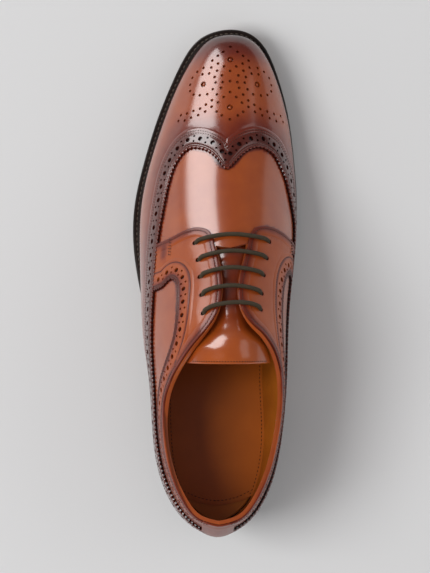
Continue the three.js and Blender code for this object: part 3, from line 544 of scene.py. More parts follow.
def punch(obj, holes, reach=3.0, sink=1.2):
    """Cuts holes through a closed piece, from reach above the last's face to sink below it."""
    bm = bmesh.new()
    for at, normal, diameter, sides in holes:
        matrix = Matrix.Translation(place(at + normal * (reach - sink) / 2)) @ turned(normal)
        bmesh.ops.create_cone(bm, cap_ends=True, cap_tris=False, segments=sides, radius1=diameter / 2 * MM,
                              radius2=diameter / 2 * MM, depth=(reach + sink) * MM, matrix=matrix)
    cutter = new_object("pins", bm)
    cut = obj.modifiers.new("Punch", "BOOLEAN")
    cut.operation = "DIFFERENCE"
    cut.solver = "MANIFOLD"
    cut.object = cutter
    apply_modifiers(obj)
    bpy.data.objects.remove(cutter)


def join(name, objs, material):
    """Several objects as one piece of one material."""
    piece = objs[0]
    with bpy.context.temp_override(active_object=piece, selected_editable_objects=objs, selected_objects=objs):
        bpy.ops.object.join()
    piece.name = piece.data.name = name
    piece.data.materials.clear()
    piece.data.materials.append(material)
    return piece


def hand_over(obj, slot, *nodes):
    """Puts a finished piece on the part's body, for the nodes it stands for; its slot is not used."""
    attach(obj, "root")
    if nodes:
        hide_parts(*nodes)
    return obj


# Leather pieces

WING_PROFILE = [  # distance from the gimped edge, height off the last's face
    (0.0, 0.30), (0.0, 1.10), (0.3, 1.46), (0.9, 1.60), (1.35, 1.58), (1.75, 1.42), (2.1, 1.60), (2.55, 1.60),
    (2.95, 1.42), (3.4, 1.60), (4.6, 1.66), (7.6, 1.66), (9.3, 1.60), (9.8, 1.46), (10.3, 1.60), (10.9, 1.60),
    (11.35, 1.46), (11.9, 1.58), (13.2, 1.48), (13.9, 1.15), (13.9, 0.30), (7.0, 0.30),
]
STAY_PROFILE = [  # the same for the bands of the facings
    (0.0, 0.12), (0.0, 0.75), (0.3, 1.08), (0.9, 1.22), (1.35, 1.20), (1.75, 1.04), (2.1, 1.22), (2.55, 1.22),
    (2.95, 1.04), (3.4, 1.22), (4.6, 1.28), (7.6, 1.28), (9.3, 1.22), (10.6, 1.20), (11.1, 1.06), (11.6, 1.18),
    (13.2, 1.10), (13.9, 0.80), (13.9, 0.12), (7.0, 0.12),
]
FOLD_PROFILE = [  # cut edge of a facing, with one stitch row close to it
    (0.05, 0.05), (0.0, 0.25), (0.0, 0.95), (0.08, 1.12), (0.25, 1.20), (0.6, 1.22), (1.3, 1.21), (1.75, 1.17),
    (1.95, 1.10), (2.15, 1.17), (2.6, 1.21), (4.0, 1.20), (5.6, 1.10), (6.2, 0.80), (6.2, 0.05), (3.0, 0.05),
]
WING_ROWS, STAY_ROWS = (1.75, 2.95, 9.8, 11.35), (1.75, 2.95, 11.1)      # stitch rows, from the gimped edge
WING_HIGH, WING_LOW = 1.42, 0.35             # faces of the wing's and the facings' flat leather, off the last
SHEET_HIGH, SHEET_LOW = 1.05, 0.12
BAR_TACKS = {"outer": ((8.40, 8.00), (0.603, 0.592)), "inner": ((8.34, 7.96), (0.365, 0.325))}   # rows, heights
HEEL_POINTS = 26             # points at a band's end that stay brown
PATCH_BELOW = 0.055          # the burnished corner's height below the bar tacks


def strip(name, seam, profile, gimped=False):
    """A strip of leather along a seam, up to as far as its band's width beside it."""
    half = TOOTH_POINTS / 2
    tooth = settings().tooth_depth / MM * np.abs(np.arange(len(seam.at)) % TOOTH_POINTS - half) / half
    scallop = tooth if gimped else np.zeros(len(seam.at))
    distance, height = np.array(profile).T
    moved = distance[None, :] + scallop[:, None] * np.clip(1 - distance[None, :] / TOOTH_REACH, 0, 1)
    across = seam.at[:, None, :] + (seam.beyond - seam.at)[:, None, :] * (moved / BAND)[:, :, None]
    return closed_piece(name, on_last(across, np.broadcast_to(height, moved.shape)), sharp=48)


def inside_polygon(polygon, t, h):
    """Which places lie inside a closed polygon of places and heights."""
    t, h = np.asarray(t, float).ravel(), np.asarray(h, float).ravel()
    inside = np.zeros(len(t), bool)
    for (t0, h0), (t1, h1) in zip(polygon, np.roll(polygon, -1, axis=0)):
        if t0 == t1:
            continue
        over = (t0 > t) != (t1 > t)
        level = h0 + (t - t0) * (h1 - h0) / (t1 - t0)
        inside ^= over & (h < level)
    return inside


BORDER_HEIGHT, BORDER_SINK = 16.0, 0.30      # above this height a body's edge sinks below its band
BORDER_PULL = 0.0032                         # metres within which a border point moves onto the line


def body(name, polygons, borders, low, high):
    """The part of the last's face inside the polygons, as leather; its border is drawn to the border lines."""
    t = np.arange(COLUMNS + 1) * ROUND / COLUMNS
    tt, hh = np.meshgrid(t, np.linspace(0.0, 1.0, BANDS + 1), indexing="ij")
    keep = np.zeros(tt.size, bool)
    for polygon in polygons:
        keep |= inside_polygon(polygon, tt, hh)
    bm = mapped_grid(last_point(tt, hh))
    spot = bm.verts.layers.int["spot"]
    gone = [f for f in bm.faces if not all(keep[v[spot]] for v in f.verts)]
    bmesh.ops.delete(bm, geom=gone, context="FACES")
    bmesh.ops.remove_doubles(bm, verts=bm.verts, dist=2e-5)
    line = place(np.vstack(borders))
    for v in bm.verts:
        if v.is_boundary:
            gap = np.linalg.norm(line - np.array(v.co), axis=1)
            nearest = int(gap.argmin())
            if gap[nearest] < BORDER_PULL:
                v.co = line[nearest]
    co = np.array([v.co for v in bm.verts]) / MM + MIDDLE
    edge = np.array([v.is_boundary and v.co.z > BORDER_HEIGHT * MM for v in bm.verts])
    for v, p in zip(bm.verts, place(on_last(co, np.where(edge, high - BORDER_SINK, high)))):
        v.co = p
    face_out(bm)
    return thicken(new_object(name, bm), high - low)


def band_holes(seam, start=6.0, stop=6.0):
    """Large holes in turn with pairs of small ones."""
    own = settings()
    run = run_along(seam.across(BAND_MIDDLE))
    index = np.interp(np.arange(start, run[-1] - stop, own.hole_pitch / MM / 2), run, np.arange(len(run)))
    holes = []
    for first, distance, diameter, sides in ((0, BAND_MIDDLE, own.large_hole, 14),
                                             (1, BAND_MIDDLE - PAIR_HALF, own.small_hole, 8),
                                             (1, BAND_MIDDLE + PAIR_HALF, own.small_hole, 8)):
        line = seam.across(distance)
        spots = read_off(index[first::2], np.arange(len(line)), line)
        holes += holes_at(*locate(spots), diameter / MM, sides)
    return holes


STITCH_CHUNK = 40            # stitches made in one go: mesh operators slow down as a mesh grows
STITCH_REACH = 0.4           # a stitch's direction is taken over this length each way


def sew(name, slot, lines, thread="thread", pitch=1.65, length=None, width=0.55, sink=0.02):
    """Stitches along lines: each line is an array of points with the direction out of the face."""
    length = length or settings().stitch_length / MM
    size = Matrix.Diagonal((length / 2 * MM, width / 2 * MM, width / 2.6 * MM, 1.0))
    stitches = []
    for at, out in lines:
        run = run_along(at)
        count = max(1, int(run[-1] // pitch))
        for s in (np.arange(count) + 0.5) * run[-1] / count:
            middle, ahead, behind = (read_off(s + way, run, at) for way in (0, STITCH_REACH, -STITCH_REACH))
            normal = read_off(s, run, out)
            x = Vector(ahead - behind).normalized()
            y = Vector(normal).cross(x).normalized()
            turn = Matrix((x, y, x.cross(y))).transposed().to_4x4()
            stitches.append(Matrix.Translation(place(middle - normal * sink)) @ turn @ size)
    whole = bmesh.new()
    scratch = bpy.data.meshes.new("chunk")
    for first in range(0, len(stitches), STITCH_CHUNK):
        bm = bmesh.new()
        for matrix in stitches[first:first + STITCH_CHUNK]:
            bmesh.ops.create_uvsphere(bm, u_segments=6, v_segments=4, radius=1.0, matrix=matrix)
        bm.to_mesh(scratch)
        bm.free()
        whole.from_mesh(scratch)
    bpy.data.meshes.remove(scratch)
    return hand_over(new_object(name, whole, finish(thread), sharp=180), slot)


def stitch_line(seam, distance, lift):
    """A row of stitches at a distance from a band's edge, lying lift off the last's face."""
    t, h = locate(seam.across(distance))
    out = last_normal(t, h)
    return last_point(t, h) + out * lift, out


class Pattern:
    """The seams of the upper that bands lie along."""

    def __init__(self):
        lobes = [table_points(WING_EDGE[side], side) for side in SIDES]
        self.wing = Seam(np.vstack((lobes[0], lobes[1][::-1])), 1)
        self.wing.beyond = self.mitred(self.wing)
        self.low, self.front = {}, {}
        for side, sign in zip(SIDES, (1, -1)):
            low = self.low[side] = Seam(table_points(FACING_LOW[side], side), sign)
            low.beyond = low.beside(BAND)
            edge = FACING_FRONT[side] + TOPLINE[side][::-1][:-1]
            front = self.front[side] = Seam(table_points(edge, side), -sign, soften=2.0)
            front.beyond = 2 * front.beside(BAND / 2) - front.at

    @staticmethod
    def mitred(seam):
        """The far line of the wing's band, with a clean point where the two lobes meet."""
        beyond = seam.beside(BAND)
        tip = int(np.argmin(np.abs(seam.h - 1) + (np.abs(row_of(seam.t) - TIP_ROW) > 0.3)))
        span = int(TIP_SPAN / SEAM_STEP)
        toe = last_point(TIP_BEYOND, 1.0)
        for sign in (-1, 1):
            far = beyond[tip + sign * span]
            for k in range(span):
                beyond[tip + sign * k] = toe + (far - toe) * (k / span)
        return beyond


@functools.cache
def pattern():
    """The seams, worked out when they are first needed."""
    return Pattern()


def set_dye_and_shade(obj, values):
    """Stores how dark each point of a piece is: its dyed and burnished colour, and painted shade."""
    layer = obj.data.attributes.new("dye", "FLOAT", "POINT")
    layer.data.foreach_set("value", np.asarray(values, np.float32))


def vertices(obj):
    """A mesh's points, in the last's millimetres."""
    co = np.empty(len(obj.data.vertices) * 3, np.float32)
    obj.data.vertices.foreach_get("co", co)
    return co.reshape(-1, 3).astype(float) / MM + MIDDLE


def distance_to(points, line):
    """How far points are from a line of points."""
    tree = BVHTree.FromPolygons([Vector(p) for p in line], [(i, i + 1, i) for i in range(len(line) - 1)])
    return np.array([tree.find_nearest(Vector(p))[3] for p in points])


# Materials

class Value:
    """An output of a material's nodes that takes part in sums."""

    def __init__(self, nodes, socket):
        self.nodes = nodes
        self.socket = socket

    def sum(self, operation, first, second):
        return self.nodes.add("ShaderNodeMath", {"operation": operation}, {0: first, 1: second})

    def __add__(self, other):
        return self.sum("ADD", self, other)

    def __radd__(self, other):
        return self.sum("ADD", other, self)

    def __sub__(self, other):
        return self.sum("SUBTRACT", self, other)

    def __rsub__(self, other):
        return self.sum("SUBTRACT", other, self)

    def __mul__(self, other):
        return self.sum("MULTIPLY", self, other)

    def __rmul__(self, other):
        return self.sum("MULTIPLY", other, self)

    def between(self, low, high):
        """Eased share of the way from low to high."""
        return self.nodes.add("ShaderNodeMapRange", {"interpolation_type": "SMOOTHSTEP"},
                              {"Value": self, "From Min": low, "From Max": high})


class Sky:
    """The nodes of any tree, the world's too."""

    def __init__(self, tree):
        self.tree = tree

    def add(self, kind, options=None, values=None, output=0):
        """A node: its options first, then the values or links of its sockets."""
        node = self.tree.nodes.new(kind)
        for key, value in (options or {}).items():
            if key == "stops":
                ramp = node.color_ramp
                while len(ramp.elements) < len(value):
                    ramp.elements.new(0.5)
                for element, (at, colour) in zip(ramp.elements, value):
                    element.position = at
                    element.color = (*colour, 1.0)
            else:
                setattr(node, key, value)
        for key, value in (values or {}).items():
            if isinstance(value, Value):
                self.tree.links.new(value.socket, node.inputs[key])
            else:
                node.inputs[key].default_value = value
        return Value(self, node.outputs[output])

    def ramp(self, share, stops):
        """A colour from a ramp's stops."""
        return self.add("ShaderNodeValToRGB", {"stops": stops}, {"Fac": share})

    def parts(self, vector):
        """The numbers of a vector."""
        node = self.add("ShaderNodeSeparateXYZ", None, {0: vector}).socket.node
        return [Value(self, socket) for socket in node.outputs]

    def blend(self, share, first, second):
        """A colour between two others."""
        return self.add("ShaderNodeMix", {"data_type": "RGBA"}, {0: share, 6: first, 7: second}, output=2)


class Nodes(Sky):
    """The nodes of one material, with its Principled shader."""

    def __init__(self, name, **sockets):
        self.material = bpy.data.materials.new(name)
        self.material.use_nodes = True
        super().__init__(self.material.node_tree)
        self.shader = next(n for n in self.tree.nodes if n.type == "BSDF_PRINCIPLED")
        for key, value in sockets.items():
            self.shader.inputs[key.replace("_", " ")].default_value = value

    def feed(self, **links):
        """Links values to the shader's sockets."""
        for key, value in links.items():
            self.tree.links.new(value.socket, self.shader.inputs[key.replace("_", " ")])
        return self.material

    def here(self, scale=(1, 1, 1)):
        """The place on the piece, in metres."""
        spot = self.add("ShaderNodeTexCoord", output="Object")
        return self.add("ShaderNodeMapping", None, {"Vector": spot, "Scale": scale})

    def noise(self, scale, detail=2.0, spot=None, roughness=0.5):
        """Soft random shades."""
        return self.add("ShaderNodeTexNoise", None, {"Vector": spot or self.here(), "Scale": scale,
                                                     "Detail": detail, "Roughness": roughness})

    def cells(self, scale, spot=None):
        """Pores: the distance to the nearest of many scattered points."""
        return self.add("ShaderNodeTexVoronoi", {"feature": "F1"}, {"Vector": spot or self.here(), "Scale": scale})

    def mark(self, name):
        """A number stored on the mesh's points."""
        return self.add("ShaderNodeAttribute", {"attribute_name": name}, output="Fac")

    def bump(self, height, strength, distance):
        """Relief that the light sees."""
        return self.add("ShaderNodeBump", None, {"Height": height, "Strength": strength, "Distance": distance})


def tone(red, green, blue):
    """A colour written in screen values, as the linear numbers that Blender takes."""
    return tuple((c / 255 / 12.92) if c <= 10 else ((c / 255 + 0.055) / 1.055) ** 2.4 for c in (red, green, blue))


def calf(name, colours, roughness=0.38, coat=1.0):
    """Polished calf leather, tan where its mark is 0 and burnished to near black where it is 1; the same mark carries
    painted shade.
    """
    nodes = Nodes(name, Coat_Weight=coat, Coat_Roughness=0.17, Coat_IOR=1.7, Specular_IOR_Level=0.25)
    spot = nodes.here()
    cloud = nodes.noise(38, 3, spot)
    wisp = nodes.noise(150, 3, spot)
    grain = nodes.noise(2300, 3, spot, 0.65)
    pores = nodes.cells(1500, spot)
    dye = nodes.mark("dye") + (cloud - 0.5) * 0.30 + (wisp - 0.5) * 0.10
    stops = [(share, tuple(colour)) for share, colour in zip((0.0, 0.22, 0.50, 0.80, 1.0), colours)]
    colour = nodes.ramp(dye, stops)
    rough = roughness + (wisp - 0.5) * 0.10 + (grain - 0.5) * 0.10
    height = grain * 0.6 + pores * 0.5
    return nodes.feed(Base_Color=colour, Roughness=rough, Normal=nodes.bump(height, 0.10, 0.00025))


def lining_leather(name, light, dark, roughness=0.55):
    """Plain vegetable-tanned lining, darker where its mark is high: painted shade deep inside the upper, an even tone
    on the insole and sock.
    """
    nodes = Nodes(name, Coat_Weight=0.08, Coat_Roughness=0.35)
    spot = nodes.here()
    cloud = nodes.noise(60, 3, spot)
    grain = nodes.noise(2600, 3, spot, 0.6)
    colour = nodes.blend((nodes.mark("dye") + (cloud - 0.5) * 0.35).between(0.0, 1.0), (*light, 1), (*dark, 1))
    return nodes.feed(Base_Color=colour, Roughness=roughness + (grain - 0.5) * 0.15,
                      Normal=nodes.bump(grain, 0.12, 0.0002))


def thread(name, colour):
    """Twisted waxed thread."""
    nodes = Nodes(name, Roughness=0.6)
    twist = nodes.noise(4200, 1)
    shade = nodes.ramp(twist, [(0.3, tuple(c * 0.55 for c in colour)), (0.7, colour)])
    return nodes.feed(Base_Color=shade, Normal=nodes.bump(twist, 0.3, 0.0001))


def edge_leather(name, colours, roughness=0.4):
    """Inked and waxed sole leather, with faint layers."""
    nodes = Nodes(name, Coat_Weight=0.15, Coat_Roughness=0.3)
    layers = nodes.noise(60, 2, nodes.here((1, 1, 22)))
    grain = nodes.noise(1800, 3, None, 0.6)
    colour = nodes.ramp(layers * 0.6 + grain * 0.4, [(0.3, colours[0]), (0.7, colours[1])])
    return nodes.feed(Base_Color=colour, Roughness=roughness + (grain - 0.5) * 0.25,
                      Normal=nodes.bump(grain + layers, 0.15, 0.0002))


def rubber(name):
    """Matt black heel rubber."""
    nodes = Nodes(name, Roughness=0.75)
    grain = nodes.noise(2500, 3, None, 0.7)
    colour = nodes.ramp(grain, [(0.3, tone(18, 17, 17)), (0.7, tone(34, 32, 31))])
    return nodes.feed(Base_Color=colour, Normal=nodes.bump(grain, 0.2, 0.0002))


def waxed_cord(name):
    """Thin round waxed lace: a fine braid along and round the cord."""
    cord = settings().lace
    nodes = Nodes(name, Roughness=0.7, Specular_IOR_Level=0.25)
    along, around, _ = nodes.parts(nodes.add("ShaderNodeUVMap", {"uv_map": "Cord"}))
    turns = 2 * math.pi

    def wave(value):
        return nodes.add("ShaderNodeMath", {"operation": "SINE"}, {0: value})

    one = wave((along * 0.8 + around * 6) * turns)
    two = wave((along * 0.8 - around * 6) * turns)
    braid = (one * two) * 0.5 + 0.5
    fuzz = nodes.noise(2600, 2)
    # Painted shade: the braid's hollows are darker, down to a fifth of the cord's colour, which is that of the
    # braid's tops.
    colour = nodes.ramp(braid * 0.7 + fuzz * 0.3, [(0.15, tuple(c * 0.2 for c in cord)), (0.85, tuple(cord))])
    return nodes.feed(Base_Color=colour, Normal=nodes.bump(braid, 0.5, 0.0002))


@functools.cache
def finishes():
    """All finishes of the shoe, by name."""
    own = settings()
    leather = [own.calf_tan, own.calf_chestnut, own.calf_red, own.calf_oxblood, own.calf_black]
    return {
        "calf": calf("Burnished calf", leather),
        "soft_calf": calf("Soft calf", leather, roughness=0.45, coat=0.32),
        "lining": lining_leather("Tan lining", own.lining, own.lining_shade),
        "sock": lining_leather("Tan sock", own.sock, own.sock_shade, 0.5),
        "thread": thread("Brown thread", tuple(own.thread)),
        "dark_thread": thread("Dark thread", tone(44, 20, 12)),
        "welt_thread": thread("Grey-brown thread", tone(92, 80, 70)),
        "welt": edge_leather("Inked welt", (tuple(c * 0.45 for c in own.welt), tuple(own.welt))),
        "edge": edge_leather("Inked edge", (tone(24, 15, 12), tone(44, 29, 22))),
        "under": edge_leather("Sole leather", (tone(120, 74, 42), tone(150, 98, 60)), 0.5),
        "rubber": rubber("Heel rubber"),
        "lace": waxed_cord("Waxed lace"),
    }


def finish(name):
    """One of the shoe's finishes."""
    return finishes()[name]


# Dyeing, burnish and painted shade

TAN, RIM_TAN = 0.16, 0.12                    # plain calf, and the cut edge round the collar
FOOT_DARK, TOE_DARK, HEEL_DARK, HEEL_TONE = 0.22, 0.62, 0.40, 0.22       # burnish, and the heel's deeper tone
TIP_DARK, TIP_REACH = 0.85, 26
RIM_BAND = 0.012                             # height share of the tan top edge
# Painted shade: the upper's lining darkens downwards, deep inside the shoe.
LINING_TOP, LINING_FADE = 78, 60             # the lining darkens from this height down, over this depth


def dye_by_place(points):
    """How dark the calf is burnished at points of the upper: at the foot, the toe and the heel."""
    t, h = locate(points)
    row = row_of(t)
    foot = 1 - smooth(h / 0.30)
    toe = smooth((row - 11.2) / 2.6)
    heel = smooth((3.2 - row) / 2.4)
    tip = 1 - smooth((LENGTH * 0.995 - points[:, 0]) / TIP_REACH)
    dark = np.maximum(foot * (FOOT_DARK + TOE_DARK * toe + HEEL_DARK * heel), tip * TIP_DARK)
    return np.clip(TAN + dark + HEEL_TONE * heel, 0, 1)


def line_shade(points, line, reach, depth, edge=2):
    """Darkening that fades from a line, the more suddenly the higher edge is: burnish, and painted shade."""
    return depth * np.exp(-(distance_to(points, line) / reach) ** edge)


def burnish(obj, lines=(), base=0.0):
    """How dark each point of a piece is, by burnish and painted shade: lines hold a line each, with what line_shade
    takes.
    """
    points = vertices(obj)
    dark = dye_by_place(points)
    for line in lines:
        dark = np.maximum(dark, line_shade(points, *line))
    return np.clip(dark + base, 0, 1)


def inside_shade(obj, dark):
    """The upper's colour with a tan top edge, and a lining that darkens downwards below the rim: painted shade deep
    inside.
    """
    points = vertices(obj)
    t, h = locate(points)
    dark[(row_of(t) < THROAT_ROW) & (h > topline(t) - RIM_BAND)] = RIM_TAN
    inner = np.zeros(len(points), bool)
    for face in obj.data.polygons:
        if face.material_index == 1:
            inner[list(face.vertices)] = True
    # Painted shade: the lining is darker the deeper it lies inside the shoe.
    depth = smooth((LINING_TOP - points[:, 2]) / LINING_FADE)
    dark[inner] = (0.15 + 0.55 * depth)[inner]
    return dark


# Pieces

BACKSTAY_WIDTH, BACKSTAY_TOP = 19.0, 0.838   # width, and height share of its top
BACKSTAY_PROFILE = [
    (0.0, 0.30), (0.0, 1.20), (0.35, 1.52), (0.9, 1.60), (1.6, 1.46), (2.2, 1.60), (2.9, 1.46), (3.5, 1.61),
    (5.0, 1.63), (6.5, 1.65), (8.0, 1.66), (9.5, 1.66), (11.0, 1.66), (12.5, 1.65), (14.0, 1.63),
    (15.5, 1.61), (16.1, 1.46), (16.8, 1.60), (17.4, 1.46), (18.1, 1.60), (18.65, 1.52),
    (19.0, 1.20), (19.0, 0.30), (16.0, 0.30), (12.8, 0.30), (9.5, 0.30), (6.2, 0.30), (3.0, 0.30),
]


def eyelet_holes(side):
    """The eyelets of one side."""
    rows, heights = np.array(EYELETS[side]).T
    return holes_at(side_t(side, rows), heights, EYELET_HOLE, 16)


def eyelet_shades(side):
    """Painted shade: black round the eyelets, so that their holes look dark inside."""
    return [(np.array([at, at + (0.01, 0, 0)]), 1.75, 1.0, 8) for at, *_ in eyelet_holes(side)]


def make_upper():
    """The upper itself: vamp, quarters and lining as one wall."""
    cuts = [*THROAT_CUTS, *(ROUND - cut for cut in THROAT_CUTS)]
    t = np.unique(np.concatenate((np.arange(COLUMNS + 1) * ROUND / COLUMNS, cuts)))
    s = np.linspace(0, 1, 57)
    top = np.where(row_of(t) < THROAT_ROW, topline(t, 0.008), 1.0)
    bm = mapped_grid(last_point(t[:, None], top[:, None] * s[None, :]))
    bmesh.ops.remove_doubles(bm, verts=bm.verts, dist=1e-5)
    face_out(bm)
    obj = thicken(new_object("upper_leather", bm, finish("calf"), finish("lining")), WALL, inner=1)
    rounding = obj.modifiers.new("Edge", "BEVEL")
    rounding.width = 0.7 * MM
    rounding.segments = 3
    rounding.limit_method = "ANGLE"
    rounding.angle_limit = math.radians(50)
    apply_modifiers(obj, sharp=60)
    punch(obj, eyelet_holes("outer") + eyelet_holes("inner"), reach=2.0, sink=5.0)
    seams = pattern()
    # Painted shade: the upper is black under the bands, where it shows through their holes and between their teeth,
    # under and just beside the facings' folded front edges, and round the eyelets, where their holes look dark
    # inside.
    lines = [(seams.wing.across(6.0), 6.4, 1.0, 12)]
    for side in SIDES:
        lines += [(seams.low[side].across(6.0), 6.4, 1.0, 12), (seams.front[side].across(2.0), 2.2, 0.8, 8)]
        lines += eyelet_shades(side)
    set_dye_and_shade(obj, inside_shade(obj, burnish(obj, lines)))
    return hand_over(obj, "upper", "upper")


def line_places(points):
    """Places and heights on the last of a line's points."""
    return np.stack(locate(points), axis=1)


def medallion():
    """The holes of the toe's pattern: the rings, then the dots, the same on both sides."""
    groups = []
    for spots, diameter, sides in ((MEDALLION_RINGS, RING_HOLE, 18),
                                   (MEDALLION_DOTS, settings().medallion_hole / MM, 10)):
        flat = [(ahead, way * across) for across, ahead in spots for way in ((1, -1) if across > 0 else (1,))]
        hits = [TREE.ray_cast(Vector((MEDALLION_X + ahead, MEDALLION_Y + across, 200.0)), Vector((0, 0, -1)))[0]
                for ahead, across in flat]
        groups.append(holes_at(*locate(np.array(hits)), diameter, sides))
    return groups


def ring_middles(rings):
    """The leather left standing in the middle of each ring, a little sunk and rounded."""
    bm = bmesh.new()
    size = Matrix.Diagonal((RING_MIDDLE / 2 * MM, RING_MIDDLE / 2 * MM, 0.7 * MM, 1.0))
    for at, normal, _, sides in rings:
        matrix = Matrix.Translation(place(at + normal * RING_SINK)) @ turned(normal) @ size
        bmesh.ops.create_uvsphere(bm, u_segments=sides, v_segments=8, radius=1.0, matrix=matrix)
    return new_object("ring_middles", bm, sharp=180)


def grooves(seam, distances):
    """Painted shade: the bottoms of a band's stitch grooves, darkened to black."""
    return [(seam.across(distance) + seam.out * 1.2, 0.45, 1.0) for distance in distances]


def make_wing():
    """The wing tip: toe cap and long wings, with a punched and gimped band along its edge."""
    seam = pattern().wing
    band = strip("wing_band", seam, WING_PROFILE, gimped=True)
    punch(band, band_holes(seam))
    border = seam.across(12.7)
    places = line_places(border)
    outer, inner = places[places[:, 0] < ROWS], places[places[:, 0] > ROWS]
    foot, crest, lap = 0.010, 1.02, 0.04     # the halves' heights, and how far they lap at the toe
    first = np.vstack((outer, [(outer[-1, 0], crest), (ROWS + lap, crest), (ROWS + lap, foot), (outer[0, 0], foot)]))
    second = np.vstack((inner, [(inner[-1, 0], foot), (ROWS - lap, foot), (ROWS - lap, crest), (inner[0, 0], crest)]))
    cap = body("wing_body", [first, second], [border], WING_LOW, WING_HIGH)
    rings, dots = medallion()
    punch(cap, rings + dots)
    obj = join("wing_leather", [cap, band, ring_middles(rings)], finish("calf"))
    # The gimped edge is black: partly its inked cut edge, partly painted shade between and under its teeth; the
    # grooves' bottoms are painted shade.
    lines = [(seam.across(6.0), 8.5, 0.90), (seam.across(BAND), 14.0, 0.50), (seam.at, 1.75, 1.0, 10)]
    set_dye_and_shade(obj, burnish(obj, lines + grooves(seam, WING_ROWS)))
    return hand_over(obj, "wing_tip", "wing_tip")


def make_facing(side, node):
    """One quarter's overlay: eyelet facing, folded edge, and the punched band round it."""
    low, front = pattern().low[side], pattern().front[side]
    band = strip(f"{side}_band", low, STAY_PROFILE, gimped=True)
    punch(band, band_holes(low, 7.0, 8.0))
    fold = strip(f"{side}_fold", front, FOLD_PROFILE)
    edge, border = front.across(4.4), low.across(12.6)
    polygon = np.vstack((line_places(edge), line_places(border)[::-1]))
    sheet = body(f"{side}_sheet", [polygon], [edge, border], SHEET_LOW, SHEET_HIGH)
    punch(sheet, eyelet_holes(side))
    obj = join(f"{node}_leather", [sheet, band, fold], finish("soft_calf"))
    dark = len(low.at) - HEEL_POINTS
    rows, heights = np.array(BAR_TACKS[side])
    corner = last_point(side_t(side, rows), heights - PATCH_BELOW)
    # Painted shadow: a thin black line along the fold's cut edge; painted shade in the grooves and round the eyelets.
    # The gimped edge is black: partly its inked cut edge, partly painted shade between and under its teeth.
    lines = [(low.across(1.8)[:dark], 3.4, 0.86), (low.at[:dark], 1.75, 1.0, 10), (front.across(0.5), 4.5, 0.66),
             (front.at, 0.35, 1.0, 8), (corner, 3.8, 0.62)]
    set_dye_and_shade(obj, burnish(obj, lines + grooves(low, STAY_ROWS) + eyelet_shades(side), -0.03))
    return hand_over(obj, node, node)


def make_facings():
    """Both quarters' overlays."""
    return [make_facing(side, node) for side, node in FACINGS]


def make_backstay():
    """The strip down the back of the heel, thinned out where it meets the collar's edge."""
    middle = Seam(last_point(np.zeros(30), np.linspace(0.012, BACKSTAY_TOP, 30)), 1, step=0.8)
    left, right = middle.beside(-BACKSTAY_WIDTH / 2), middle.beside(BACKSTAY_WIDTH / 2)
    distance, height = np.array(BACKSTAY_PROFILE).T
    across = left[:, None, :] + (right - left)[:, None, :] * (distance / BACKSTAY_WIDTH)[None, :, None]
    run = run_along(middle.at)
    away = run[-1] - run
    thin = np.minimum(1 - 0.34 * smooth((9.0 - away) / 5.0), 0.25 + 0.75 * np.sqrt(np.clip(away / 1.2, 0, 1)))
    kept = 0.40                              # height that isn't thinned
    points = on_last(across, np.minimum(height, kept) + np.maximum(height - kept, 0) * thin[:, None])
    obj = closed_piece("backstay_leather", points, finish("soft_calf"), sharp=60)
    set_dye_and_shade(obj, burnish(obj, base=0.04))
    return hand_over(obj, "backstay", "backstay")


def tongue_value(column, row):
    """A column of the tongue's table, at rows."""
    table = np.array(TONGUE)
    return np.interp(row, table[:, 0], table[:, column])


def tongue_edge(side, row):
    """Where the tongue's side lies: under the facing in front, inside the collar at its free end."""
    t = side_t(side, row)
    h = tongue_value(1 + SIDES.index(side), row)
    under = last_point(t, h, True) - last_normal(t, h, True) * TONGUE_DEPTH
    h = topline(t, -0.035)
    beside = last_point(t, h) - last_normal(t, h) * (WALL + TONGUE_CLEAR)
    return under + (beside - under) * smooth((TONGUE_FREE_ROW - row) / TONGUE_FREE_SPAN)[:, None]


def tongue_crest(row):
    """The tongue's middle line."""
    dip = TONGUE_DIP * smooth((TONGUE_DIP_ROW - row) / TONGUE_DIP_SPAN)
    raised = TONGUE_LIFT * smooth(tongue_value(3, row)) - (WALL + TONGUE_BELOW) - dip
    return last_point(row, 1.0, True) + last_normal(row, np.full(len(row), 0.999), True) * raised[:, None]


def at_reach(points, x):
    """Points of a line where it reaches each place along the shoe."""
    points = points[np.argsort(points[:, 0])]
    return read_off(x, points[:, 0], points)[:, None, :]


def tongue_face(x, s):
    """The tongue's outer face: x along the shoe, s from -1 on the outer side to 1 on the inner."""
    rows = np.linspace(3.9, 9.4, 300)
    outer, inner = (at_reach(tongue_edge(side, rows), x) for side in SIDES)
    crest = at_reach(tongue_crest(rows), x)
    s = s[None, :, None]
    return crest + (inner - outer) / 2 * s + ((inner + outer) / 2 - crest) * s ** 2


def rounded(away, thick):
    """How far a sheet's face draws in at a rounded edge."""
    radius = thick / 2
    return radius - np.sqrt(np.maximum(radius ** 2 - np.maximum(radius - away, 0) ** 2, 0))


def sheet_normals(points):
    """Upward directions of a table of points."""
    out = unit(np.cross(np.gradient(points, axis=0), np.gradient(points, axis=1)))
    return out * np.sign(out[..., 2:3])


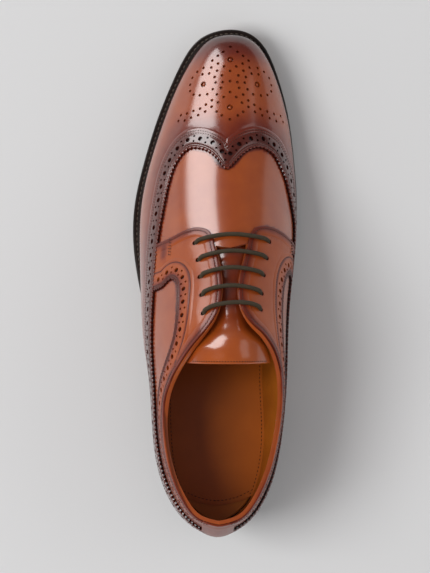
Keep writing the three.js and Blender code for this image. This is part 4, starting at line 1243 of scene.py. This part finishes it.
def make_tongue():
    """The tongue: burnished calf, with a rounded free end."""
    eased = 1 - np.sin(np.linspace(0.1, 0.5, 9) * math.pi)
    x = np.concatenate((np.linspace(TONGUE_FRONT_X, TONGUE_END_X + TONGUE_ROUND, 90),
                        TONGUE_END_X + TONGUE_ROUND * eased))
    s = np.sin(np.linspace(-0.5, 0.5, 61) * math.pi)
    face = tongue_face(x, s)
    ahead, aside = np.meshgrid(x - TONGUE_END_X, s, indexing="ij")
    corner = np.clip((TONGUE_CORNER - ahead) / TONGUE_CORNER, 0, 1)
    middle = face[:, len(s) // 2, None, :]
    face = middle + (face - middle) * (1 - 0.05 * corner ** 2 * aside ** 2)[..., None]
    out = sheet_normals(face)
    crease = sum(depth * np.exp(-((ahead - at - slant * aside) / width) ** 2)
                 for depth, at, slant, width in TONGUE_CREASES)
    draw = rounded(np.minimum((1 - np.abs(aside)) * TONGUE_HALF, ahead), TONGUE_THICK)
    upper = face - out * (draw + crease)[..., None]
    lower = face - out * (TONGUE_THICK - draw + crease)[..., None]
    points = np.concatenate((upper, lower[:, -2:0:-1]), axis=1)
    obj = closed_piece("tongue_leather", points, finish("calf"), sharp=70, distance=2e-6)
    points = vertices(obj)
    # Painted light and shade: lighter towards the free end, out in the light, and darker in the throat
    # and towards the sides, under the facings and in the collar.
    free = smooth((TONGUE_END_X + 34 - points[:, 0]) / 22)
    aside = smooth((np.abs(points[:, 1] - TONGUE_MIDDLE_Y) - 16) / 12)
    set_dye_and_shade(obj, 0.40 - 0.36 * free + 0.25 * aside)
    return hand_over(obj, "tongue", "tongue")


# Lace

LACE_BOW, TAIL_BELOW = 0.25, 0.055           # rows that a bar bows by, and how far its tail lies below the eyelets
BAR_LIFT, BAR_BOW = 1.35, np.array([1.3, 0.0, 0.9])      # a bar's height over the facing, its bow over the tongue


def lace_radius():
    """Half the lace's width, in millimetres."""
    return settings().lace_width / 2 / MM


def lace_under():
    """Depth of its middle where it runs under the facings."""
    return -(WALL + 0.6 + lace_radius())


def lace_at(side, row, h, depth):
    """A point of the lace at a depth off the last's face."""
    t = side_t(side, row)
    return last_point(t, h) + last_normal(t, h) * depth


def lace_bar(index):
    """One bar, taut from the outer eyelet over the instep to the inner one."""
    halves = []
    over = BAR_LIFT + lace_radius()
    for side in SIDES:
        row, height = EYELETS[side][index]
        path = [lace_at(side, row, height + 0.002, -0.9), lace_at(side, row + 0.01, height + 0.010, 0.8)]
        for s in (0.14, 0.28, 0.46):
            path.append(lace_at(side, row + LACE_BOW * math.sin(s * math.pi / 2), height + (1 - height) * s,
                                over - 0.5 * (1 - min(1.0, s / 0.28)) ** 2))
        halves.append(path)
    left, right = halves[0][-1], halves[1][-1]
    middle = [left + (right - left) * s + BAR_BOW * (1 - (2 * s - 1) ** 2) for s in (0.3, 0.5, 0.7)]
    return halves[0] + middle + halves[1][::-1]


def lace_run(side, first, second, below=0.0):
    """A run under one facing between two eyelets."""
    a, b = EYELETS[side][first], EYELETS[side][second]
    return [lace_at(side, a[0] + s * (b[0] - a[0]), a[1] + s * (b[1] - a[1]) - below, lace_under())
            for s in (0, 0.33, 0.67, 1)]


def lace_path():
    """The whole lace, in and out of the eyelets, from its hidden tail to its other hidden end."""
    top = len(EYELETS["outer"]) - 1
    path = lace_run("outer", top, 0, TAIL_BELOW) + [lace_at("outer", *EYELETS["outer"][0], lace_under())]
    for i in range(top + 1):
        bar = lace_bar(i)
        path += bar if i % 2 == 0 else bar[::-1]
        if i < top:
            path += lace_run("inner" if i % 2 == 0 else "outer", i, i + 1)
    path.append(lace_at("inner", *EYELETS["inner"][top], lace_under()))
    return np.array(path)


def tube(name, line, radius, sides, material):
    """A round cord along a line of points, with its length and turn as a UV map."""
    along = unit(np.gradient(line, axis=0))
    across = np.zeros_like(line)
    here = np.array([0.0, 0.0, 1.0])
    for i, way in enumerate(along):
        here = here - way * here.dot(way)
        here /= np.linalg.norm(here)
        across[i] = here
    side = np.cross(along, across)
    angle = np.linspace(0, 2 * math.pi, sides + 1)
    points = line[:, None, :] + radius * (across[:, None, :] * np.cos(angle)[None, :, None]
                                         + side[:, None, :] * np.sin(angle)[None, :, None])
    run = run_along(line)
    bm = mapped_grid(points)
    spot = bm.verts.layers.int["spot"]
    uv = bm.loops.layers.uv.new("Cord")
    for face in bm.faces:
        for loop in face.loops:
            i, j = divmod(loop.vert[spot], sides + 1)
            loop[uv].uv = (run[i], j / sides)
    weld(bm)
    close(bm)
    return new_object(name, bm, material, sharp=80)


def make_lace():
    """One round lace in straight bars."""
    line = through(lace_path(), 0.45, soften=0.7)
    obj = tube("lace_cord", line, lace_radius(), 14, finish("lace"))
    return hand_over(obj, "lace", "lace")


# Sole

WELT_GROOVE, WELT_UNDER = 2.5, 3.5           # from the edge to the stitches, and from the foot of the upper inwards
HEEL_BOW = 3.0                               # the heel's front bows back by this
LIFT_CUTS = (0.25, 0.5, 0.75)                # shares of the heel's height where its lifts meet


def drawn_in(curve, t, inset):
    """A closed outline drawn in by an inset, in plan."""
    out_x, out_y = outward(curve, t)
    return curve["x"](t) - out_x * inset, curve["y"](t) - out_y * inset


def edge_line(t, inset):
    """The trimmed edge of welt and sole, drawn in."""
    return drawn_in(RIM, t, inset)


def feather_line(t, inset):
    """The foot of the upper, drawn in."""
    return drawn_in(LAST, t, inset)


def layer(name, outline, rows, edge, low, high, material, bow=0.0, across=24):
    """A layer of the sole between two heights, ring by ring from its first row to its last.

    Its edge is a list of insets from low to high, each at a share of the height; its last rows bow back.
    """
    shares = (0.5 - 0.5 * np.cos(np.linspace(0, math.pi, across)))[:, None]
    levels = np.array([level for _, level in edge])
    level = np.concatenate((np.ones(across), levels[-2:0:-1], np.zeros(across), levels[1:-1]))
    rings = []
    for k, row in enumerate(rows):
        outer, inner = (np.array([outline(t, inset) for inset, _ in edge]) for t in (row, ROUND - row))
        x, y = np.vstack((outer[-1] + (inner[-1] - outer[-1]) * shares, inner[-2:0:-1],
                          inner[0] + (outer[0] - inner[0]) * shares, outer[1:-1])).T
        half, centre = abs(outer[0, 1] - inner[0, 1]) / 2 + 1e-6, (outer[0, 1] + inner[0, 1]) / 2
        x = x - bow * (k / (len(rows) - 1)) ** 8 * (1 - np.minimum(1.0, ((y - centre) / half) ** 2))
        rings.append(np.column_stack((x, y, low(x) + level * (high(x) - low(x)))))
    return closed_piece(name, np.array(rings), material, sharp=50, distance=2e-6)


def eased_rows(first, last, count):
    """Rows that lie closer towards the ends."""
    s = np.linspace(0, 1, count)
    return first + (last - first) * (0.35 * s + 0.65 * (0.5 - 0.5 * np.cos(math.pi * s)))


def welt_foot(x):
    """Underside of the welt."""
    return bottom(x) + OUTSOLE_THICK + GAP


def make_welt():
    """The welt, its edge trimmed with the sole's."""
    t = np.linspace(0, ROUND, 361)[:-1]
    top = WELT_THICK
    section = [(0.15, 0.0), (0.0, 0.35), (0.0, top - 0.7), (0.25, top - 0.2), (0.7, top), (2.0, top),
               (WELT_GROOVE, top - 0.28), (3.0, top), ("in", top), ("in", 0.0)]
    rings = []
    for inset, up in section:
        x, y = feather_line(t, WELT_UNDER) if inset == "in" else edge_line(t, inset)
        rings.append(np.stack((x, y, welt_foot(x) + up), axis=1))
    points = np.stack(rings, axis=1)
    obj = closed_piece("welt_strip", np.concatenate((points, points[:1])), finish("welt"), sharp=50)
    return hand_over(obj, "welt", "welt")


def welt_stitches():
    """Lockstitches in the welt's groove."""
    x, y = edge_line(np.linspace(0.0, ROUND, 2400), WELT_GROOVE)
    line = np.stack((x, y, welt_foot(x) + WELT_THICK - 0.10), axis=1)
    return sew("welt_stitches", "welt", [(line, upwards(line))], "welt_thread", pitch=3.1, length=2.3, width=0.95,
               sink=-0.05)


def make_outsole():
    """The leather outsole with its trimmed edge and a bare underside."""
    edge = [(0.8, 0.0), (0.25, 0.08), (0.0, 0.25), (0.0, 0.85), (0.15, 1.0)]
    obj = layer("outsole_leather", edge_line, eased_rows(0, ROWS, 150), edge, bottom,
                lambda x: bottom(x) + OUTSOLE_THICK, finish("edge"))
    obj.data.materials.append(finish("under"))
    for face in obj.data.polygons:
        if face.normal.z < -0.75 and face.center.z < bottom(face.center.x / MM + MIDDLE[0]) * MM + 0.0004:
            face.material_index = 1
    return hand_over(obj, "outsole", "outsole")


def heel_rows():
    """Rows from the back of the heel to its breast."""
    rows = np.linspace(4, 6, 400)
    last = rows[np.argmax(RIM["x"](rows) >= HEEL_BREAST * LENGTH)]
    return last * np.linspace(0, 1, 70)


def make_heel():
    """The stacked heel, its lifts parted by fine lines, on a rubber top piece."""
    lines = []
    for cut in LIFT_CUTS:
        lines += [(0.8, cut - 0.016), (1.02, cut - 0.006), (1.02, cut + 0.006), (0.8, cut + 0.016)]
    edge = [(1.0, 0.0), (0.8, 0.02)] + lines + [(0.8, 0.98), (1.0, 1.0)]
    lifts = layer("heel_lifts", edge_line, heel_rows(), edge, lambda x: HEEL_TIP_THICK + GAP,
                  lambda x: bottom(x) - GAP, finish("edge"), bow=HEEL_BOW)
    hand_over(lifts, "heel_stack", "heel_stack")
    edge = [(1.6, 0.0), (1.0, 0.10), (0.8, 0.22), (0.8, 0.60), (1.05, 0.64), (1.05, 0.68), (0.8, 0.72), (0.8, 1.0)]
    tip = layer("heel_rubber", edge_line, heel_rows(), edge, lambda x: 0.0, lambda x: HEEL_TIP_THICK,
                finish("rubber"), bow=HEEL_BOW)
    return hand_over(tip, "heel_tip", "heel_tip")


INSOLE_INSET = 2.4
SOCK_INSET, SOCK_THICK, SOCK_BOW = 1.2, 0.9, 6.0
SOCK_END_ROW = 2.3          # its end at the heel starts here and bows back


def insole_top(x):
    """Top of the insole."""
    return bottom(x) + OUTSOLE_THICK + GAP + INSOLE_THICK


def sock_outline(inset):
    """A line on the sock along its edge: up the inner side, round its end and down the outer side."""
    rows = np.linspace(6.2, SOCK_END_ROW, 60)
    sides = [np.stack(feather_line(way, SOCK_INSET + inset), axis=1) for way in (ROUND - rows, rows[::-1])]
    across = np.linspace(0, 1, 42)[1:-1, None]
    start, end = sides[0][-1], sides[1][0]
    bowed = start + (end - start) * across
    bowed[:, 0] -= SOCK_BOW * (1 - (2 * across[:, 0] - 1) ** 2) - inset
    flat = np.vstack((sides[0], bowed, sides[1]))
    return np.column_stack((flat, insole_top(flat[:, 0]) + SOCK_THICK))


def make_insole():
    """The insole and the tan sock over it."""
    edge = [(0.4, 0.0), (0.0, 0.12), (0.0, 0.7), (0.3, 0.92), (0.9, 1.0)]
    insole = layer("insole_leather", lambda t, inset: feather_line(t, INSOLE_INSET + inset),
                   eased_rows(0, ROWS, 120), edge, lambda x: insole_top(x) - INSOLE_THICK, insole_top,
                   finish("lining"))
    set_dye_and_shade(insole, np.full(len(insole.data.vertices), 0.4))
    hand_over(insole, "insole", "insole")
    edge = [(0.0, 0.0), (0.0, 0.6), (0.15, 0.9), (0.4, 1.0)]
    sock = layer("sock", lambda t, inset: feather_line(t, SOCK_INSET + inset), eased_rows(ROWS, SOCK_END_ROW, 120),
                 edge, lambda x: insole_top(x) - 0.3, lambda x: insole_top(x) + SOCK_THICK, finish("sock"),
                 bow=SOCK_BOW)
    set_dye_and_shade(sock, np.full(len(sock.data.vertices), 0.35))
    return hand_over(sock, "insole")


# Stitching

def upwards(line):
    """The direction up, once for each point of a line."""
    return np.tile((0.0, 0.0, 1.0), (len(line), 1))


def bar_tack(side, below):
    """A short row of stitches at the foot of an eyelet facing."""
    rows, heights = BAR_TACKS[side]
    t, h = side_t(side, np.linspace(*rows, 24)), np.linspace(*heights, 24) - below
    out = last_normal(t, h)
    return last_point(t, h) + out * 1.30, out


def make_stitches():
    """The stitch rows of the upper, the tongue and the sock."""
    seams = pattern()
    sew("wing_stitches", "wing_tip", [stitch_line(seams.wing, distance, 1.50) for distance in WING_ROWS])
    for side, node in FACINGS:
        lines = [stitch_line(seams.low[side], distance, 1.12) for distance in STAY_ROWS]
        lines.append(stitch_line(seams.front[side], 1.95, 1.22))
        sew(f"{node}_stitches", node, lines + [bar_tack(side, below) for below in (0.0, 0.012)])
    face = tongue_face(TONGUE_END_X + np.array([1.2, 1.7, 2.2]), np.linspace(-0.86, 0.86, 90))
    sew("tongue_stitches", "tongue", [(face[1], sheet_normals(face)[1])], "dark_thread", sink=-0.02)
    outline = sock_outline(1.9)
    return sew("sock_stitches", "insole", [(outline, upwards(outline))], "dark_thread", pitch=2.3, length=1.5)


# Stage

LIGHTS = {  # azimuth, elevation, distance, target, power, size
    "Key": (94, 57, 3.2, (0.0, 0.0, 0.03), 66, (1.6, 1.6)),
    "Fill": (-75, 36, 2.6, (0.0, 0.0, 0.03), 5, (2.0, 1.1)),
    "Shine": (41, 27, 1.7, (0.05, 0.0, 0.06), 17, (1.0, 0.95)),
}
CAMERA_AT = (-0.003317, -0.05983, 1.71896)
CAMERA_LEAN, CAMERA_LENS, CAMERA_SENSOR, CAMERA_FAR = math.radians(2.0), 178.3, 36.0, 20.0
WHITE, STUDIO_GREY, STUDIO_DARK = (255, 255, 255), (148, 147, 148), (56, 55, 58)
SKY_STRENGTH = 1.3


def light(name, azimuth, elevation, distance, target, power, size):
    """A soft light in a direction from the shoe: azimuth from the toe towards the outer side, in degrees."""
    data = bpy.data.lights.new(name, "AREA")
    data.energy = power
    data.shape = "RECTANGLE"
    data.size, data.size_y = size
    a, e = math.radians(azimuth), math.radians(elevation)
    at = Vector((distance * math.cos(e) * math.cos(a), distance * math.cos(e) * math.sin(a), distance * math.sin(e)))
    obj = bpy.data.objects.new(name, data)
    obj.location = at
    obj.rotation_euler = (Vector(target) - at).to_track_quat("-Z", "Y").to_euler()
    bpy.context.scene.collection.objects.link(obj)
    return obj


def make_floor():
    """The pale floor."""
    bm = bmesh.new()
    bmesh.ops.create_grid(bm, x_segments=1, y_segments=1, size=3.0)
    nodes = Nodes("Pale floor", Roughness=0.85)
    pale = tuple(settings().floor)
    nodes.feed(Base_Color=nodes.ramp(nodes.noise(3, 1), [(0.2, tuple(c * 0.99 for c in pale)), (0.8, pale)]))
    floor = new_object("floor", bm, nodes.material)
    return floor


def make_lights():
    """The key light, unseen in the gloss, a weak fill, and a light that is seen in the gloss alone."""
    key, fill, shine = (light(name, *values) for name, values in LIGHTS.items())
    key.visible_glossy = False
    shine.visible_diffuse = False
    return key, fill, shine


def make_sky():
    """Soft light all round, with dark walls for the gloss to mirror."""
    world = bpy.data.worlds.new("Studio")
    world.use_nodes = True
    background = next(n for n in world.node_tree.nodes if n.type == "BACKGROUND")
    sky = Sky(world.node_tree)
    _, side, height = sky.parts(sky.add("ShaderNodeTexCoord", output="Generated"))
    aside = sky.add("ShaderNodeMath", {"operation": "MAXIMUM"}, {0: side, 1: side * -0.6})
    mirrored = sky.ramp(height + (1 - aside) * 0.5, [(0.0, tone(*WHITE)), (0.14, tone(*STUDIO_DARK))])
    ambient = sky.ramp(height, [(0.0, tone(*WHITE)), (0.5, tone(*STUDIO_GREY))])
    glossy = sky.add("ShaderNodeLightPath", output="Is Glossy Ray")
    sky.tree.links.new(sky.blend(glossy, ambient, mirrored).socket, background.inputs["Color"])
    background.inputs["Strength"].default_value = SKY_STRENGTH
    bpy.context.scene.world = world
    bpy.context.scene.view_settings.view_transform = "Standard"
    return world


def make_camera():
    """The camera over the shoe, leaning a little from the inner side."""
    data = bpy.data.cameras.new("Camera")
    data.lens = CAMERA_LENS
    data.sensor_width = CAMERA_SENSOR
    data.clip_end = CAMERA_FAR
    camera = bpy.data.objects.new("Camera", data)
    right = Vector((0, -math.cos(CAMERA_LEAN), -math.sin(CAMERA_LEAN)))
    back = Vector((0, -math.sin(CAMERA_LEAN), math.cos(CAMERA_LEAN)))
    turn = Matrix((right, Vector((1, 0, 0)), back)).transposed().to_4x4()
    camera.matrix_world = Matrix.Translation(CAMERA_AT) @ turn
    bpy.context.scene.collection.objects.link(camera)
    bpy.context.scene.camera = camera
    return camera


# Add-on

def size(name, description, default):
    """A length that the panel shows."""
    return bpy.props.FloatProperty(name=name, description=description, default=default, min=0.0, precision=5,
                                   unit="LENGTH")


def colour(name, description, *default):
    """A colour that the panel shows, its default written in screen values."""
    return bpy.props.FloatVectorProperty(name=name, description=description, default=tone(*default), size=3,
                                         min=0.0, max=1.0, subtype="COLOR")


class BrogueSettings(bpy.types.PropertyGroup):
    """Sizes and colours of the shoe's dressing"""
    lace_width: size("Lace width", "Diameter of the lace", 0.0025)
    large_hole: size("Large holes", "Diameter of the bands' large holes", 0.0029)
    small_hole: size("Small holes", "Diameter of the bands' small holes", 0.00145)
    hole_pitch: size("Hole pitch", "Distance between two large holes", 0.0083)
    medallion_hole: size("Medallion holes", "Diameter of the toe pattern's small holes", 0.00185)
    tooth_depth: size("Tooth depth", "Depth of the gimped edge's teeth", 0.00115)
    stitch_length: size("Stitch length", "Length of one stitch of the upper", 0.00115)
    calf_tan: colour("Calf, tan", "Calf without burnish", 168, 80, 26)
    calf_chestnut: colour("Calf, chestnut", "Calf with a light burnish", 146, 62, 20)
    calf_red: colour("Calf, red-brown", "Calf half burnished", 108, 34, 14)
    calf_oxblood: colour("Calf, oxblood", "Calf burnished for the bands and the toe", 84, 28, 16)
    # calf_black is also painted shade: in holes, in grooves and under the bands, besides the inked cut edges.
    calf_black: colour("Calf, black", "Calf at cut edges and in grooves", 38, 12, 10)
    lining: colour("Lining", "Lining leather in the light", 190, 110, 32)
    # The dark lining is painted shade deep inside the upper; on the insole it only sets the even tone.
    lining_shade: colour("Lining, dark", "Lining leather deep inside", 100, 44, 8)
    sock: colour("Sock", "Sock leather, light patches", 168, 88, 20)
    sock_shade: colour("Sock, dark", "Sock leather, dark patches", 126, 58, 10)
    thread: colour("Thread", "Thread of the upper's seams", 74, 38, 28)
    lace: colour("Lace", "Top of the lace's braid", 84, 73, 56)
    welt: colour("Welt", "Inked welt, light patches", 38, 26, 21)
    floor: colour("Floor", "Studio floor", 216, 216, 216)


class ShoeOperator:
    """Shared by the operators: runs the makers one after another."""
    bl_options = {"REGISTER", "UNDO"}
    makers = ()

    def execute(self, context):
        for maker in self.makers:
            if maker() is None:
                raise RuntimeError(f"{self.bl_label}: a piece wasn't made")
        return {"FINISHED"}


class BROGUE_OT_upper(ShoeOperator, bpy.types.Operator):
    """Makes the upper's leather and lining"""
    bl_idname = "brogue.upper"
    bl_label = "Upper"
    makers = (make_upper,)


class BROGUE_OT_wing(ShoeOperator, bpy.types.Operator):
    """Makes the wing tip with its punched band and medallion"""
    bl_idname = "brogue.wing"
    bl_label = "Wing tip"
    makers = (make_wing,)


class BROGUE_OT_facings(ShoeOperator, bpy.types.Operator):
    """Makes the two facings"""
    bl_idname = "brogue.facings"
    bl_label = "Facings"
    makers = (make_facings,)


class BROGUE_OT_backstay(ShoeOperator, bpy.types.Operator):
    """Makes the backstay"""
    bl_idname = "brogue.backstay"
    bl_label = "Backstay"
    makers = (make_backstay,)


class BROGUE_OT_tongue(ShoeOperator, bpy.types.Operator):
    """Makes the tongue"""
    bl_idname = "brogue.tongue"
    bl_label = "Tongue"
    makers = (make_tongue,)


class BROGUE_OT_lace(ShoeOperator, bpy.types.Operator):
    """Threads the lace"""
    bl_idname = "brogue.lace"
    bl_label = "Lace"
    makers = (make_lace,)


class BROGUE_OT_sole(ShoeOperator, bpy.types.Operator):
    """Makes the welt, outsole, heel and insole"""
    bl_idname = "brogue.sole"
    bl_label = "Sole"
    makers = (make_welt, welt_stitches, make_outsole, make_heel, make_insole)


class BROGUE_OT_stitches(ShoeOperator, bpy.types.Operator):
    """Sews the upper"""
    bl_idname = "brogue.stitches"
    bl_label = "Stitches"
    makers = (make_stitches,)


class BROGUE_OT_stage(ShoeOperator, bpy.types.Operator):
    """Sets the floor, lights and camera"""
    bl_idname = "brogue.stage"
    bl_label = "Stage"
    makers = (make_floor, make_lights, make_sky, make_camera)


OPERATORS = (BROGUE_OT_upper, BROGUE_OT_wing, BROGUE_OT_facings, BROGUE_OT_backstay, BROGUE_OT_tongue,
             BROGUE_OT_lace, BROGUE_OT_sole, BROGUE_OT_stitches, BROGUE_OT_stage)


class BROGUE_PT_panel(bpy.types.Panel):
    """Lists the shoe's sizes and pieces"""
    bl_idname = "BROGUE_PT_panel"
    bl_label = "Brogue"
    bl_space_type = "VIEW_3D"
    bl_region_type = "UI"
    bl_category = "Brogue"

    def draw(self, context):
        for name in BrogueSettings.__annotations__:
            self.layout.prop(context.scene.brogue, name)
        for operator in OPERATORS:
            self.layout.operator(operator.bl_idname)


CLASSES = (BrogueSettings, *OPERATORS, BROGUE_PT_panel)


def register():
    """Adds the classes and the panel's settings."""
    for cls in CLASSES:
        bpy.utils.register_class(cls)
    bpy.types.Scene.brogue = bpy.props.PointerProperty(type=BrogueSettings)


def unregister():
    """Takes them away again."""
    del bpy.types.Scene.brogue
    for cls in reversed(CLASSES):
        bpy.utils.unregister_class(cls)


def main():
    """Builds the shoe: registers the add-on and runs each of its operators."""
    register()
    for operator in OPERATORS:
        group, name = operator.bl_idname.split(".")
        getattr(getattr(bpy.ops, group), name)()


if __name__ == "__main__":
    main()
